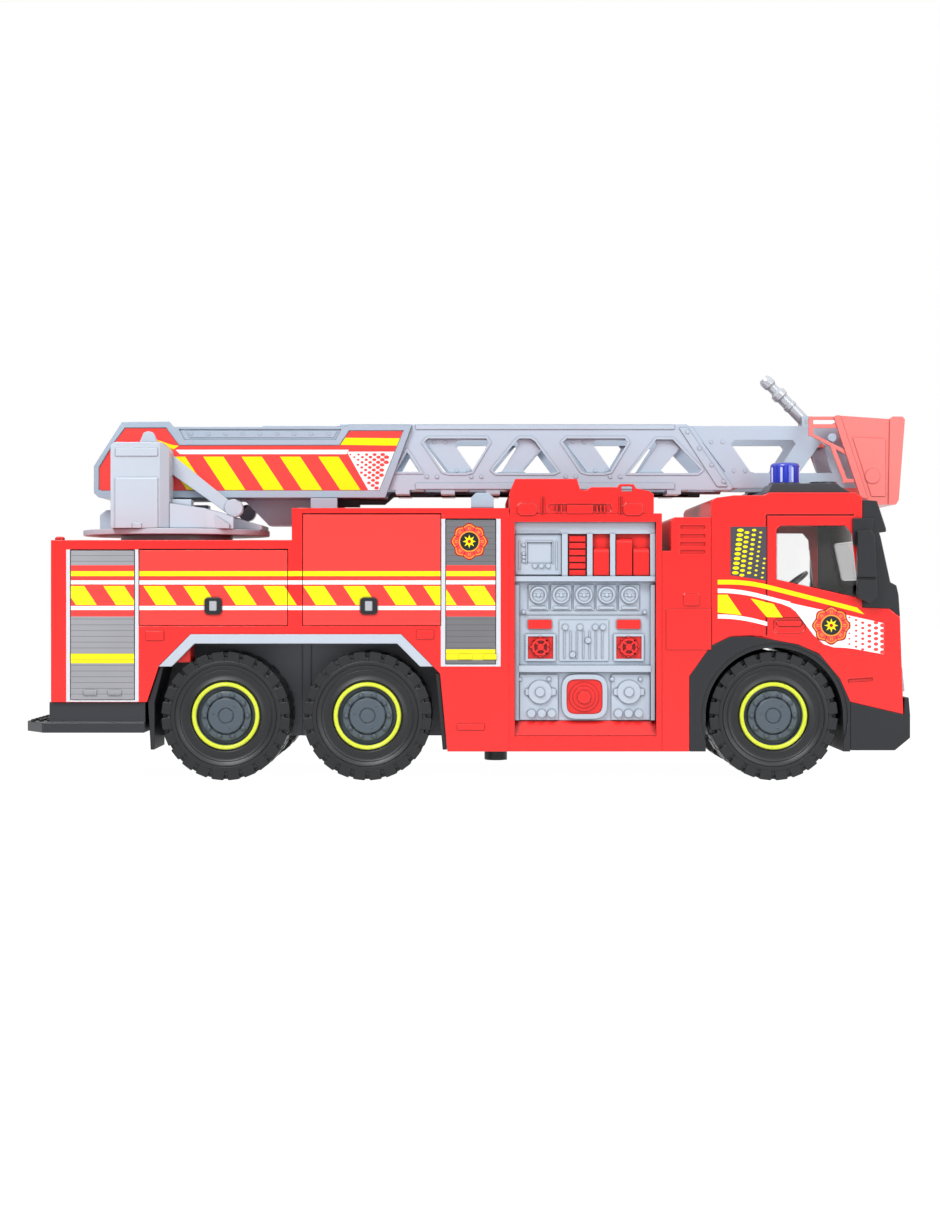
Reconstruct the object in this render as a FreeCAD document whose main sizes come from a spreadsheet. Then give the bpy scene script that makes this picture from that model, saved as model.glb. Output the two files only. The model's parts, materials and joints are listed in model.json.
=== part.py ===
"""Toy ladder fire engine with three axles: a slewing, rising and sliding ladder with a rescue basket.

Millimetres, +X to the front, +Z up, the origin on the ground under the middle of the length.
The side towards -Y is the right-hand side. Every length is a cell of the spreadsheet "sizes".
"""
import FreeCAD, Part
import math
import os

import Sketcher
from FreeCAD import Vector

document = FreeCAD.newDocument("fire_engine")
sheet = document.addObject("Spreadsheet::Sheet", "sizes")

# name, millimetres, what it is
SIZES = [
    # running gear
    ("wheel_radius", 44.7, "tyre, outside"),
    ("tyre_width", 42.0, "tyre, across"),
    ("tread_floor", 41.4, "tyre between its lugs"),
    ("lug_reach", 19.0, "how far a tyre's lug reaches from its shoulder"),
    ("lug_width", 8.0, "one tyre lug along the tread"),
    ("tyre_inset", 4.0, "from the body's side in to the tyre's outer face"),
    ("rim_radius", 26.0, "hub's seat in the tyre"),
    ("ring_radius", 23.0, "coloured ring on the hub, outside"),
    ("ring_bore", 19.5, "coloured ring, inside"),
    ("nut_circle", 15.0, "wheel nuts from the wheel's centre"),
    ("nut_radius", 1.5, "one wheel nut"),
    ("axle_radius", 2.5, "steel axle rod"),
    ("axle_clearance", 0.08, "axle rod in its bearing, all round"),
    ("rear_axle", -169.9, "rear axle, along the body"),
    ("mid_axle", -71.4, "middle axle, along the body"),
    ("front_axle", 211.0, "front axle, along the body"),
    # chassis
    ("chassis_half", 34.0, "half width of the chassis beam"),
    ("chassis_low", 34.0, "underside of the chassis beam"),
    ("liner_half", 39.0, "half width over the wheel liners"),
    ("liner_low", 28.0, "lower edge of the wheel liners"),
    ("boss_radius", 8.4, "round boss under the chassis"),
    ("boss_place", 19.0, "round boss, along the body"),
    ("boss_low", 7.6, "underside of the round boss"),
    # body shell
    ("half_width", 89.0, "half width of the body"),
    ("wall", 2.4, "moulded outer walls"),
    ("thin_wall", 1.6, "inner walls"),
    ("gap", 0.4, "clearance round a door or a pane"),
    ("body_rear", -290.4, "tail of the body"),
    ("step_face", -123.5, "where the roof steps up"),
    ("body_front", 27.0, "front of the locker body"),
    ("deck_height", 167.0, "low rear deck"),
    ("roof_step", 22.2, "locker roof above the rear deck"),
    ("skirt_low", 20.4, "lower edge of the body ahead of the wheels"),
    ("tail_low", 54.7, "lower edge of the body behind the wheels"),
    ("locker_depth", 36.0, "depth of the lockers behind the doors"),
    ("arch_reach", 54.0, "from a rear axle to the arch's foot"),
    ("arch_shoulder", 45.8, "from a rear axle to the arch's shoulder"),
    ("arch_corner", 23.6, "from a rear axle to the arch's flat top"),
    ("shoulder_height", 79.3, "arch's shoulder"),
    ("arch_top", 101.7, "arch's flat top"),
    ("arch_trim", 6.5, "width of the arch's trim band"),
    ("well_roof", 103.0, "underside of the floor over the wheels"),
    ("shutter_floor", 79.0, "floor behind the middle shutter"),
    # doors
    ("door_thickness", 2.0, "doors and shutters"),
    ("pin_radius", 0.8, "door's hinge pins"),
    ("pin_clearance", 0.08, "hinge pin in its hole, all round"),
    ("pin_length", 1.2, "how far a hinge pin reaches into the wall"),
    # pump module and column
    ("module_front", 133.0, "front of the pump module"),
    ("module_drop", 3.7, "pump module's top below the locker roof"),
    ("panel_low", 41.6, "instrument panel, lower edge"),
    ("panel_header", 6.0, "red frame above the panel"),
    ("panel_margin", 4.0, "red frame beside the panel"),
    ("panel_recess", 9.0, "instrument panel behind the body's side"),
    ("sill_top", 31.0, "sill under the instrument panel"),
    ("column_rear", 139.4, "rear face of the column behind the cab"),
    ("column_drop", 6.4, "column's top below the locker roof"),
    ("saddle_drop", 23.3, "wall between pump module and column below the column's top"),
    # cab
    ("cab_rear", 167.0, "rear of the cab"),
    ("cab_rise", 10.8, "cab roof above the locker roof"),
    ("shoulder_drop", 2.0, "cab roof behind the light tray below that under it"),
    ("cab_floor", 103.0, "top of the wheel housing inside the cab"),
    ("screen_setback", 28.5, "windscreen surround's rear edge behind the cab's front"),
    ("cab_front", 300.5, "front of the cab at its lower edge"),
    ("grille_half", 50.0, "half width of the grille"),
    ("bumper_reach", 4.5, "bumper's front beyond the cab's front"),
    ("bumper_low", 21.3, "underside of the bumper"),
    ("glass", 1.2, "panes"),
    ("front_arch_radius", 47.6, "round opening about the front wheel"),
    ("tray_height", 6.7, "roof light tray"),
    ("beacon_setback", 49.3, "beacons behind the windscreen surround's rear edge"),
    ("beacon_side", 60.0, "beacons, from the centre line"),
    ("beacon_radius", 10.3, "beacon lens"),
    ("beacon_height", 15.5, "beacon lens"),
    # turntable
    ("pivot_place", -216.0, "turntable's pivot, along the body"),
    ("pivot_radius", 12.0, "turntable's pin"),
    ("pivot_depth", 8.0, "turntable's pin below the deck's top"),
    ("table_radius", 68.0, "turntable's plate"),
    ("table_gap", 5.0, "turntable plate above the deck"),
    ("table_thickness", 4.0, "turntable plate"),
    ("table_clearance", 0.3, "turntable's ring above the deck"),
    ("tower_inner", 39.0, "towers, inner faces"),
    ("tower_width", 27.0, "one tower, across"),
    ("tower_cap", 9.7, "towers above the lift hinge"),
    # ladder
    ("lift_place", -243.6, "ladder's lift hinge, along the body"),
    ("lift_rise", 28.0, "ladder's lift hinge above the boom's lower edge"),
    ("lift_radius", 5.0, "ladder's lift trunnions"),
    ("running", 0.05, "shaft in its hole, all round"),
    ("boom_half", 37.0, "half width over the boom's side panels"),
    ("boom_panel", 3.6, "boom's side panels"),
    ("boom_drop", 5.7, "boom's lower edge below the outer ladder's"),
    ("boom_heel", -61.1, "boom's front end, lower edge"),
    ("boom_toe", -42.0, "boom's front end, upper edge"),
    ("belly_half", 12.0, "half width of the bracket under the boom"),
    ("boom_depth", 50.8, "boom, height of its sides"),
    ("ladder_wall", 2.6, "outer ladder's side plates"),
    ("ladder_lap", 1.5, "outer ladder's lower edge below the inner one's"),
    ("outer_depth", 47.3, "outer ladder, height of its side plates"),
    ("outer_tip", 189.2, "outer ladder's tip"),
    ("slide_clearance", 0.6, "between outer and inner ladder"),
    ("inner_wall", 4.0, "inner ladder's side plates"),
    ("ladder_clearance", 6.2, "inner ladder above the cab's roof"),
    ("inner_depth", 44.8, "inner ladder, height of its side plates"),
    ("inner_rear", -150.0, "inner ladder's foot"),
    ("tip_setback", 19.8, "inner ladder's tip behind the cab's front"),
    ("rung_pitch", 32.6, "between rungs"),
    ("rung_width", 10.0, "one rung"),
    ("rung_height", 3.0, "one rung"),
    # basket and nozzle
    ("basket_half", 44.0, "half width of the basket"),
    ("basket_reach", 48.8, "front of the basket's rail beyond its hinge"),
    ("basket_depth", 46.7, "basket's floor below its hinge"),
    ("rail_rise", 13.3, "basket's rail above its hinge"),
    ("basket_wall", 2.4, "basket's frames and walls"),
    ("hinge_setback", 18.5, "basket's hinge behind the inner ladder's tip"),
    ("hinge_drop", 8.3, "basket's hinge below the inner ladder's upper edge"),
    ("hinge_radius", 2.5, "basket's hinge pins"),
    ("nozzle_setback", 33.2, "nozzle's pin behind the inner ladder's tip"),
    ("nozzle_rise", 5.0, "nozzle's hinge above the inner ladder"),
    ("nozzle_length", 45.0, "nozzle, from its hinge to its mouth"),
]


class Size:
    """A length known twice: as a number, and as the expression of cells that gives it."""

    def __init__(self, value, text):
        self.value = value
        self.text = text

    def joined(self, other, sign, value):
        """The size that this one and another make with a sign between them."""
        return Size(value, f"({self.text} {sign} {text_of(other)})")

    def __add__(self, other):
        return self.joined(other, "+", self.value + value_of(other))

    def __radd__(self, other):
        return self + other

    def __sub__(self, other):
        return self.joined(other, "-", self.value - value_of(other))

    def __rsub__(self, other):
        return -self + other

    def __mul__(self, factor):
        return self.joined(factor, "*", self.value * value_of(factor))

    def __rmul__(self, factor):
        return self * factor

    def __truediv__(self, other):
        return self.joined(other, "/", self.value / value_of(other))

    def __neg__(self):
        return Size(-self.value, f"(0 - {self.text})")


def value_of(size):
    """The number behind a size or a plain number."""
    return size.value if isinstance(size, Size) else float(size)


def text_of(size):
    """The expression behind a size or a plain number."""
    return size.text if isinstance(size, Size) else f"{float(size):.6f}"


for row, (name, value, note) in enumerate(SIZES, start=1):
    sheet.set(f"A{row}", name)
    sheet.set(f"B{row}", str(value))
    sheet.set(f"C{row}", note)
    sheet.setAlias(f"B{row}", name)
document.recompute()


class Cells:
    """The sheet's cells as sizes, one attribute for each alias."""


cell = Cells()
for name, value, note in SIZES:
    setattr(cell, name, Size(float(sheet.get(name)), f"sizes.{name}"))


# ---------------------------------------------------------------- drawing helpers

def origin_plane(body, role):
    """One of a body's own origin planes."""
    return next(item for item in body.Origin.OriginFeatures if item.Role == role)


def draw(body, role, outline, level):
    """A closed sketch of straight lines on an origin plane, moved along the plane's normal.

    Each corner is held by its two distances from the plane's origin, bound to the sheet.
    """
    sketch = body.newObject("Sketcher::SketchObject", "outline")
    sketch.AttachmentSupport = [(origin_plane(body, role), "")]
    sketch.MapMode = "FlatFace"
    sketch.setExpression("AttachmentOffset.Base.z", text_of(level))
    corners = [Vector(value_of(across), value_of(up), 0) for across, up in outline]
    count = len(corners)
    sketch.addGeometry([Part.LineSegment(corners[i], corners[(i + 1) % count]) for i in range(count)])
    for i in range(count):
        sketch.addConstraint(Sketcher.Constraint("Coincident", i, 2, (i + 1) % count, 1))
    for i, (across, up) in enumerate(outline):
        for kind, size, axis in (("DistanceX", across, -2), ("DistanceY", up, -1)):
            if not isinstance(size, Size) and size == 0:
                sketch.addConstraint(Sketcher.Constraint("PointOnObject", i, 1, axis))
                continue
            index = sketch.addConstraint(Sketcher.Constraint(kind, -1, 1, i, 1, value_of(size)))
            if isinstance(size, Size):
                sketch.setExpression(f"Constraints[{index}]", size.text)
    return sketch


# role, whether the plane's normal points along the axis that start and end are measured on
PLANES = {"side": ("XZ_Plane", False), "plan": ("XY_Plane", True), "front": ("YZ_Plane", True)}


def pad(body, view, outline, start, end):
    """Add a prism to a body: its outline in one view, from start to end along the view's axis."""
    role, along = PLANES[view]
    sketch = draw(body, role, outline, start if along else -end)
    feature = body.newObject("PartDesign::Pad", "pad")
    feature.Profile = sketch
    feature.setExpression("Length", text_of(end - start))
    body.Tip = feature
    return body


def pocket(body, view, outline, start, end):
    """Take a prism out of a body."""
    role, along = PLANES[view]
    sketch = draw(body, role, outline, end if along else -start)
    feature = body.newObject("PartDesign::Pocket", "pocket")
    feature.Profile = sketch
    feature.setExpression("Length", text_of(end - start))
    body.Tip = feature
    return body


def prism(label, view, outline, start, end):
    """A new body that starts as one prism."""
    body = document.addObject("PartDesign::Body", label)
    body.Label = label
    return pad(body, view, outline, start, end)


def turned(label, profile, direction, x, y, z):
    """A new body turned about a line through (x, y, z): its profile is (radius, way along the line)."""
    body = document.addObject("PartDesign::Body", label)
    body.Label = label
    feature = body.newObject("PartDesign::Revolution", "turning")
    sketch = draw(body, "XZ_Plane", profile, 0)
    feature.Profile = sketch
    feature.ReferenceAxis = (sketch, ["V_Axis"])
    feature.Angle = 360
    body.Tip = feature
    return stand(body, x, y, z, FreeCAD.Rotation(Vector(0, 0, 1), Vector(*direction)))


def stand(piece, x, y, z, rotation=FreeCAD.Rotation()):
    """Put a piece at a place, turned as given."""
    piece.Placement.Rotation = rotation
    for prop, size in (("x", x), ("y", y), ("z", z)):
        piece.setExpression(f"Placement.Base.{prop}", text_of(size))
    return piece


def around(body, axis, count):
    """Repeat a body's last feature evenly about one of its own axes."""
    pattern = body.newObject("PartDesign::PolarPattern", "pattern")
    pattern.Originals = [body.Tip]
    pattern.Axis = (origin_plane(body, axis), [""])
    pattern.Angle = 360
    pattern.Occurrences = count
    body.Tip = pattern
    return body


def rectangle(low_across, high_across, low_up, high_up):
    """The four corners of an upright rectangle."""
    return [(low_across, low_up), (high_across, low_up), (high_across, high_up), (low_across, high_up)]


def box(label, x_low, x_high, y_low, y_high, z_low, z_high):
    """A block between six faces."""
    block = document.addObject("Part::Box", label)
    block.Label = label
    for prop, size in (("Length", x_high - x_low), ("Width", y_high - y_low), ("Height", z_high - z_low),
                       ("Placement.Base.x", x_low), ("Placement.Base.y", y_low), ("Placement.Base.z", z_low)):
        block.setExpression(prop, text_of(size))
    return block


# turn of a cylinder from +Z onto each axis
TURNS = {"x": (Vector(0, 1, 0), 90), "y": (Vector(1, 0, 0), -90), "z": (Vector(0, 0, 1), 0)}


def rod(label, axis, radius, start, end, first, second):
    """A cylinder along an axis, from start to end, through the two other coordinates in order."""
    cylinder = document.addObject("Part::Cylinder", label)
    cylinder.Label = label
    cylinder.setExpression("Radius", text_of(radius))
    return lay(cylinder, axis, start, end, first, second)


def polygon(label, axis, count, radius, start, end, first, second):
    """A prism of count equal faces that touch a cylinder of the radius."""
    piece = document.addObject("Part::Prism", label)
    piece.Label = label
    piece.Polygon = count
    piece.setExpression("Circumradius", text_of(radius / math.cos(math.pi / count)))
    return lay(piece, axis, start, end, first, second)


def lay(piece, axis, start, end, first, second):
    """Turn a cylinder or prism onto an axis and put it at its place."""
    piece.setExpression("Height", text_of(end - start))
    base = {"x": (start, first, second), "y": (first, start, second), "z": (first, second, start)}[axis]
    return stand(piece, *base, FreeCAD.Rotation(*TURNS[axis]))


def fuse(label, *pieces):
    """Pieces joined into one."""
    joined = document.addObject("Part::MultiFuse", label)
    joined.Label = label
    joined.Shapes = list(pieces)
    joined.Refine = True
    return joined


def cut(label, base, *tools):
    """One piece with others taken out of it."""
    taken = tools[0] if len(tools) == 1 else fuse(label + "_tools", *tools)
    result = document.addObject("Part::Cut", label)
    result.Label = label
    result.Base = base
    result.Tool = taken
    return result


def mirrored(label, piece):
    """The same piece on the other side of the centre line."""
    copy = document.addObject("Part::Mirroring", label)
    copy.Label = label
    copy.Source = piece
    copy.Normal = Vector(0, 1, 0)
    return copy


def group(label, *pieces):
    """Pieces that don't touch, kept as one sub-part."""
    together = document.addObject("Part::Compound", label)
    together.Label = label
    together.Links = list(pieces)
    return together


def pair(label, piece):
    """A right-hand piece and its mirror image as one sub-part."""
    return group(label, piece, mirrored(label + "_left", piece))


parts = []


def keep(piece):
    """Hand in this piece as a sub-part of the model."""
    parts.append(piece)
    return piece


# ---------------------------------------------------------------- places that several pieces share

zero = Size(0, "0")
roof_height = cell.deck_height + cell.roof_step
module_top = roof_height - cell.module_drop
panel_high = module_top - cell.panel_header
column_top = roof_height - cell.column_drop
saddle_height = column_top - cell.saddle_drop
cab_roof = roof_height + cell.cab_rise
cab_shoulder = cab_roof - cell.shoulder_drop
screen_rear = cell.cab_front - cell.screen_setback
bumper_front = cell.cab_front + cell.bumper_reach
beacon_place = screen_rear - cell.beacon_setback
inner_tip = cell.cab_front - cell.tip_setback
hinge_place = inner_tip - cell.hinge_setback
nozzle_place = inner_tip - cell.nozzle_setback
basket_front = hinge_place + cell.basket_reach
table_low = cell.deck_height + cell.table_gap
table_top = table_low + cell.table_thickness
inner_low = cab_roof + cell.ladder_clearance
inner_high = inner_low + cell.inner_depth
outer_low = inner_low - cell.ladder_lap
outer_high = outer_low + cell.outer_depth
boom_low = outer_low - cell.boom_drop
boom_high = boom_low + cell.boom_depth
lift_height = boom_low + cell.lift_rise
tower_top = lift_height + cell.tower_cap
hinge_height = inner_high - cell.hinge_drop
nozzle_height = inner_high + cell.nozzle_rise
basket_floor_height = hinge_height - cell.basket_depth
basket_rail_height = hinge_height + cell.rail_rise

side = -cell.half_width                       # outer face of the right-hand side
inside = side + cell.wall                     # its inner face
axle_height = cell.wheel_radius
axles = {"rear": cell.rear_axle, "mid": cell.mid_axle, "front": cell.front_axle}
chassis_tunnel = rectangle(-cell.chassis_half - cell.gap, cell.chassis_half + cell.gap,
                           cell.skirt_low, cell.tail_low + cell.gap)
wheel_outer = side + cell.tyre_inset
wheel_inner = wheel_outer + cell.tyre_width
arch_rear_foot = cell.rear_axle - cell.arch_reach
arch_front_foot = cell.mid_axle + cell.arch_reach

rear_arch = [
    (arch_front_foot + 1.7, cell.skirt_low),
    (arch_front_foot - 3.4, cell.shoulder_height - 5),
    (cell.mid_axle + cell.arch_shoulder, cell.shoulder_height),
    (cell.mid_axle + cell.arch_corner, cell.arch_top),
    (cell.rear_axle - cell.arch_corner, cell.arch_top),
    (cell.rear_axle - cell.arch_shoulder, cell.shoulder_height),
    (arch_rear_foot, cell.tail_low),
]

# door, rear edge, front edge, lower edge, upper edge
doors = [
    ("rear_shutter", cell.body_rear + 13.8, arch_rear_foot - 8.8, cell.tail_low + 1.7,
     cell.deck_height - 7.3),
    ("rear_flap", arch_rear_foot - 5.2, cell.step_face - 3.0, cell.arch_top + 6.2, cell.deck_height - 7.0),
    ("roof_flap", cell.step_face + 7.8, cell.mid_axle + 51.0, cell.arch_top + 6.2, roof_height - 4.5),
    ("mid_shutter", cell.mid_axle + 54.8, cell.body_front - 9.4, cell.shutter_floor + 2.2,
     roof_height - 8.2),
]

# ---------------------------------------------------------------- chassis and rear step

chassis_blank = prism("chassis_blank", "side",
                      rectangle(arch_rear_foot, cell.front_axle + 52.5, cell.chassis_low, cell.tail_low),
                      -cell.chassis_half, cell.chassis_half)
chassis_bores = [rod(f"{name}_bore", "y", cell.axle_radius + cell.axle_clearance,
                     -cell.chassis_half - 1, cell.chassis_half + 1, place, axle_height)
                 for name, place in axles.items()]
boss = rod("boss", "z", cell.boss_radius, cell.boss_low, cell.chassis_low + 1, cell.boss_place, zero)
keep(cut("chassis", fuse("chassis_solid", chassis_blank, boss), *chassis_bores))

step_corner = cell.half_width - 20
rear_step = prism("rear_step", "plan",
                  [(arch_rear_foot - 1.4, -cell.half_width), (cell.body_rear - 6, -cell.half_width),
                   (cell.body_rear - 20.6, -step_corner), (cell.body_rear - 20.6, step_corner),
                   (cell.body_rear - 6, cell.half_width), (arch_rear_foot - 1.4, cell.half_width)],
                  cell.tail_low - 21.3, cell.tail_low - 14.2)
pad(rear_step, "plan", rectangle(cell.body_rear - 1.6, arch_rear_foot - 1.4, inside, -inside),
    cell.tail_low - 14.2, cell.tail_low)
pocket(rear_step, "plan", rectangle(cell.body_rear + 2.6, arch_rear_foot, inside + 4, -inside - 4),
       cell.tail_low - 14.2, cell.tail_low - 1.6)
pad(rear_step, "plan", rectangle(arch_rear_foot - 4, arch_rear_foot, -cell.chassis_half, cell.chassis_half),
    cell.tail_low - 20, cell.tail_low)
keep(rear_step)

# ---------------------------------------------------------------- locker body

body_side = prism("body_side_blank", "side",
                  [(cell.body_rear, cell.tail_low), (cell.body_rear, cell.deck_height),
                   (cell.step_face, cell.deck_height), (cell.step_face, roof_height),
                   (cell.body_front, roof_height), (cell.body_front, cell.skirt_low)] + rear_arch,
                  side, inside)
for name, rear, front, low, high in doors:
    pocket(body_side, "side",
           rectangle(rear - cell.gap, front + cell.gap, low - cell.gap, high + cell.gap * 2), side, inside)
hinge_level = side + cell.door_thickness / 2
pin_holes = [rod(f"{name}_pin_hole", "x", cell.pin_radius + cell.pin_clearance,
                 rear - cell.gap - cell.pin_length, front + cell.gap + cell.pin_length,
                 hinge_level, high - cell.door_thickness / 2)
             for name, rear, front, low, high in doors]
body_side_right = keep(cut("body_side_right", body_side, *pin_holes))
keep(mirrored("body_side_left", body_side_right))

deck = prism("deck_blank", "side",
             [(cell.body_rear, cell.deck_height - cell.wall), (cell.body_rear, cell.deck_height),
              (cell.step_face, cell.deck_height), (cell.step_face, roof_height),
              (cell.body_front, roof_height), (cell.body_front, roof_height - cell.wall),
              (cell.step_face + cell.wall, roof_height - cell.wall),
              (cell.step_face + cell.wall, cell.deck_height - cell.wall)],
             inside, -inside)
keep(cut("body_deck", deck, rod("pivot_hole", "z", cell.pivot_radius + cell.running, cell.deck_height - 5,
                                cell.deck_height + 5, cell.pivot_place, zero)))
keep(box("body_tail", cell.body_rear, cell.body_rear + cell.wall, inside, -inside,
         cell.tail_low, cell.deck_height - cell.wall))

locker_rear = cell.body_rear + cell.wall
locker_front = cell.body_front - cell.wall
lockers = prism("lockers_right", "side",
                [(locker_rear, cell.tail_low), (locker_rear, cell.deck_height - cell.wall),
                 (cell.step_face + cell.wall, cell.deck_height - cell.wall),
                 (cell.step_face + cell.wall, roof_height - cell.wall),
                 (locker_front, roof_height - cell.wall),
                 (locker_front, cell.shutter_floor), (arch_front_foot + 1, cell.shutter_floor),
                 (arch_front_foot + 1, cell.well_roof), (arch_rear_foot - 5.2, cell.well_roof),
                 (arch_rear_foot - 5.2, cell.tail_low)],
                inside, inside + cell.locker_depth)
divider = arch_rear_foot - 7.8
bay_split = cell.step_face + 5.6
bays = [
    (locker_rear + cell.thin_wall, divider, cell.tail_low + 1.3, cell.deck_height - cell.wall - 1),
    (divider + cell.thin_wall, bay_split - cell.thin_wall, cell.well_roof + 1.6,
     cell.deck_height - cell.wall - 1),
    (bay_split, cell.mid_axle + 51.8, cell.well_roof + 1.6, roof_height - cell.wall - 1),
    (cell.mid_axle + 53.4, locker_front - cell.thin_wall, cell.shutter_floor + 1.6,
     roof_height - cell.wall - 1),
]
for rear, front, low, high in bays:
    pocket(lockers, "side", rectangle(rear, front, low, high),
           inside, inside + cell.locker_depth - cell.thin_wall)
keep(lockers)
keep(mirrored("lockers_left", lockers))

# ---------------------------------------------------------------- doors


def door(name, rear, front, low, high):
    """A door hung on two pins at the ends of its upper edge."""
    panel = box(f"{name}_panel", rear, front, side, side + cell.door_thickness, low, high)
    pins = rod(f"{name}_pins", "x", cell.pin_radius, rear - cell.gap - cell.pin_length * 0.8,
               front + cell.gap + cell.pin_length * 0.8, hinge_level, high - cell.door_thickness / 2)
    pieces = [panel, pins]
    if name.endswith("flap"):
        centre = (rear + front) / 2 + (0 if name == "rear_flap" else -2.0)
        pieces.append(box(f"{name}_latch", centre - 5.5, centre + 5.5, side - 1.2, side,
                          low + 7.8, low + 18.9))
    else:
        for offset in (9.0, 26.0):
            pieces.append(box(f"{name}_latch_{offset:.0f}", rear + offset, rear + offset + 9, side - 0.8,
                              side, low + 3, low + 6.5))
    return fuse(f"{name}_right", *pieces)


for row in doors:
    right = keep(door(*row))
    keep(mirrored(f"{row[0]}_left", right))

# ---------------------------------------------------------------- wheel housings of the rear axles

liner = prism("wheel_liner", "side", rectangle(arch_rear_foot + 1.6, arch_front_foot + 1, cell.liner_low,
                                               cell.well_roof), -cell.liner_half, -cell.chassis_half)
for name in ("rear", "mid"):
    place = axles[name]
    pocket(liner, "side", rectangle(place - 5, place + 5, axle_height - 5, axle_height + 5),
           -cell.liner_half, -cell.chassis_half)
pad(liner, "side", rectangle((cell.rear_axle + cell.mid_axle) / 2 + 0.6,
                             (cell.rear_axle + cell.mid_axle) / 2 + 6.6,
                             cell.liner_low, cell.well_roof), -cell.liner_half - 1.4, -cell.liner_half)
pocket(liner, "side", rectangle(arch_rear_foot + 3.2, arch_front_foot - 0.6, cell.tail_low,
                                cell.well_roof - 1.6),
       -cell.liner_half + 1.6, -cell.chassis_half)
keep(pair("wheel_liners", liner))

rear_flap_skin = prism("rear_flap_skin", "side",
                       [(arch_rear_foot + 2.2, cell.skirt_low + 1.1), (arch_rear_foot + 0.4, cell.tail_low),
                        (cell.rear_axle - cell.arch_shoulder + 0.4, cell.shoulder_height),
                        (cell.rear_axle - cell.arch_shoulder + 3, cell.shoulder_height),
                        (arch_rear_foot + 5, cell.tail_low), (arch_rear_foot + 5, cell.skirt_low + 1.1)],
                       inside, -cell.liner_half - 2)
front_flap_skin = prism("front_flap_skin", "side",
                        [(arch_front_foot + 1.4, cell.skirt_low + 1.1),
                         (arch_front_foot - 3.6, cell.shoulder_height - 5),
                         (arch_front_foot - 6.2, cell.shoulder_height - 5),
                         (arch_front_foot - 1.6, cell.skirt_low + 1.1)],
                        inside, -cell.liner_half - 2)
keep(group("mud_flaps", rear_flap_skin, front_flap_skin, mirrored("rear_flap_skin_left", rear_flap_skin),
           mirrored("front_flap_skin_left", front_flap_skin)))

trim = prism("arch_trim", "side",
             [(cell.mid_axle + cell.arch_shoulder, cell.shoulder_height),
              (cell.mid_axle + cell.arch_corner, cell.arch_top),
              (cell.rear_axle - cell.arch_corner, cell.arch_top),
              (cell.rear_axle - cell.arch_shoulder, cell.shoulder_height),
              (cell.rear_axle - cell.arch_shoulder + 9, cell.shoulder_height),
              (cell.rear_axle - cell.arch_corner + 2.6, cell.arch_top - cell.arch_trim),
              (cell.mid_axle + cell.arch_corner - 2.6, cell.arch_top - cell.arch_trim),
              (cell.mid_axle + cell.arch_shoulder - 9, cell.shoulder_height)],
             side - 0.6, side + cell.tyre_inset - 1)
keep(pair("arch_trims", trim))

# ---------------------------------------------------------------- pump module

panel_rear = cell.body_front + cell.panel_margin
panel_front = cell.module_front - cell.panel_margin
panel_plane = side + cell.panel_recess
panel_back = panel_plane + 2
frame = prism("pump_frame", "side",
              rectangle(cell.body_front, cell.module_front, cell.skirt_low, module_top), side, -side)
pocket(frame, "side", rectangle(cell.body_front + cell.wall, cell.module_front - cell.wall,
                                cell.skirt_low, module_top - cell.wall), panel_back, -panel_back)
pocket(frame, "side", rectangle(panel_rear, panel_front, cell.sill_top, panel_high), side, -side)
pocket(frame, "front", chassis_tunnel, cell.body_front, cell.module_front)
for near, far in ((side + 1, panel_plane), (-side - 1, -panel_plane)):
    pad(frame, "front", [(near, cell.sill_top), (near, cell.sill_top + 0.6), (far, cell.panel_low),
                         (far, cell.sill_top)],
        panel_rear, panel_front)
keep(frame)

# blocks on the instrument panel: rear, front, low, high from its rear lower corner, and how far it stands out
PANEL_BLOCKS = (
    (0.2, 2.9, 0.2, 94.4, 4.0), (94.8, 97.5, 0.2, 94.4, 4.0),                   # grab bars
    (0.0, 97.7, 96.8, 100.3, 6.0), (2.9, 94.8, 33.8, 38.2, 4.5),                # shelves
    (0.0, 97.7, 129.9, 137.9, 4.0), (32.9, 36.8, 100.3, 129.9, 5.0),            # header and hose bays' walls
    (50.4, 54.1, 100.3, 129.9, 5.0), (66.4, 69.9, 100.3, 129.9, 5.0), (94.3, 97.7, 100.3, 129.9, 5.0),
    (0.6, 32.6, 101.6, 129.4, 2.4), (9.8, 23.6, 76.9, 94.4, 1.2), (25.6, 39.4, 76.9, 94.4, 1.2),
    (41.4, 55.2, 76.9, 94.4, 1.2), (57.2, 71.0, 76.9, 94.4, 1.2), (73.0, 86.8, 76.9, 94.4, 1.2),
    (7.7, 28.6, 41.3, 60.1, 2.0), (69.1, 90.0, 41.3, 60.1, 2.0), (31.3, 65.5, 41.3, 69.7, 0.8),
    (3.5, 30.2, 0.4, 31.8, 1.2), (67.6, 94.3, 0.4, 31.8, 1.2),
)
# round parts: place along, place up, radius, and how far it stands out
PANEL_DISCS = (
    [(16.6 + 15.85 * index, 87.2, 5.6, 3.0) for index in range(5)]
    + [(17.7, 19.8, 8.0, 3.4), (17.7, 19.8, 3.0, 5.0), (79.6, 19.8, 8.0, 3.4), (79.6, 19.8, 3.0, 5.0)]
    + [(along, 4.9, 2.7, 4.2) for along in (11.7, 18.9, 25.8, 72.2, 79.3, 86.3)]
    + [(along, 107.6, 1.5, 4.0) for along in (14.1, 18.6, 23.3)]
    + [(along, 64.9, 1.9, 2.4) for along in (35.3, 45.6, 56.3, 61.6)] + [(51.2, 55.7, 1.9, 2.4),
                                                                         (40.5, 45.8, 1.9, 2.4)]
)


# the panel's details are drawn on a grid of this size and keep their share of the panel
GRID_LENGTH = 98.0
GRID_HEIGHT = 137.9


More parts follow.
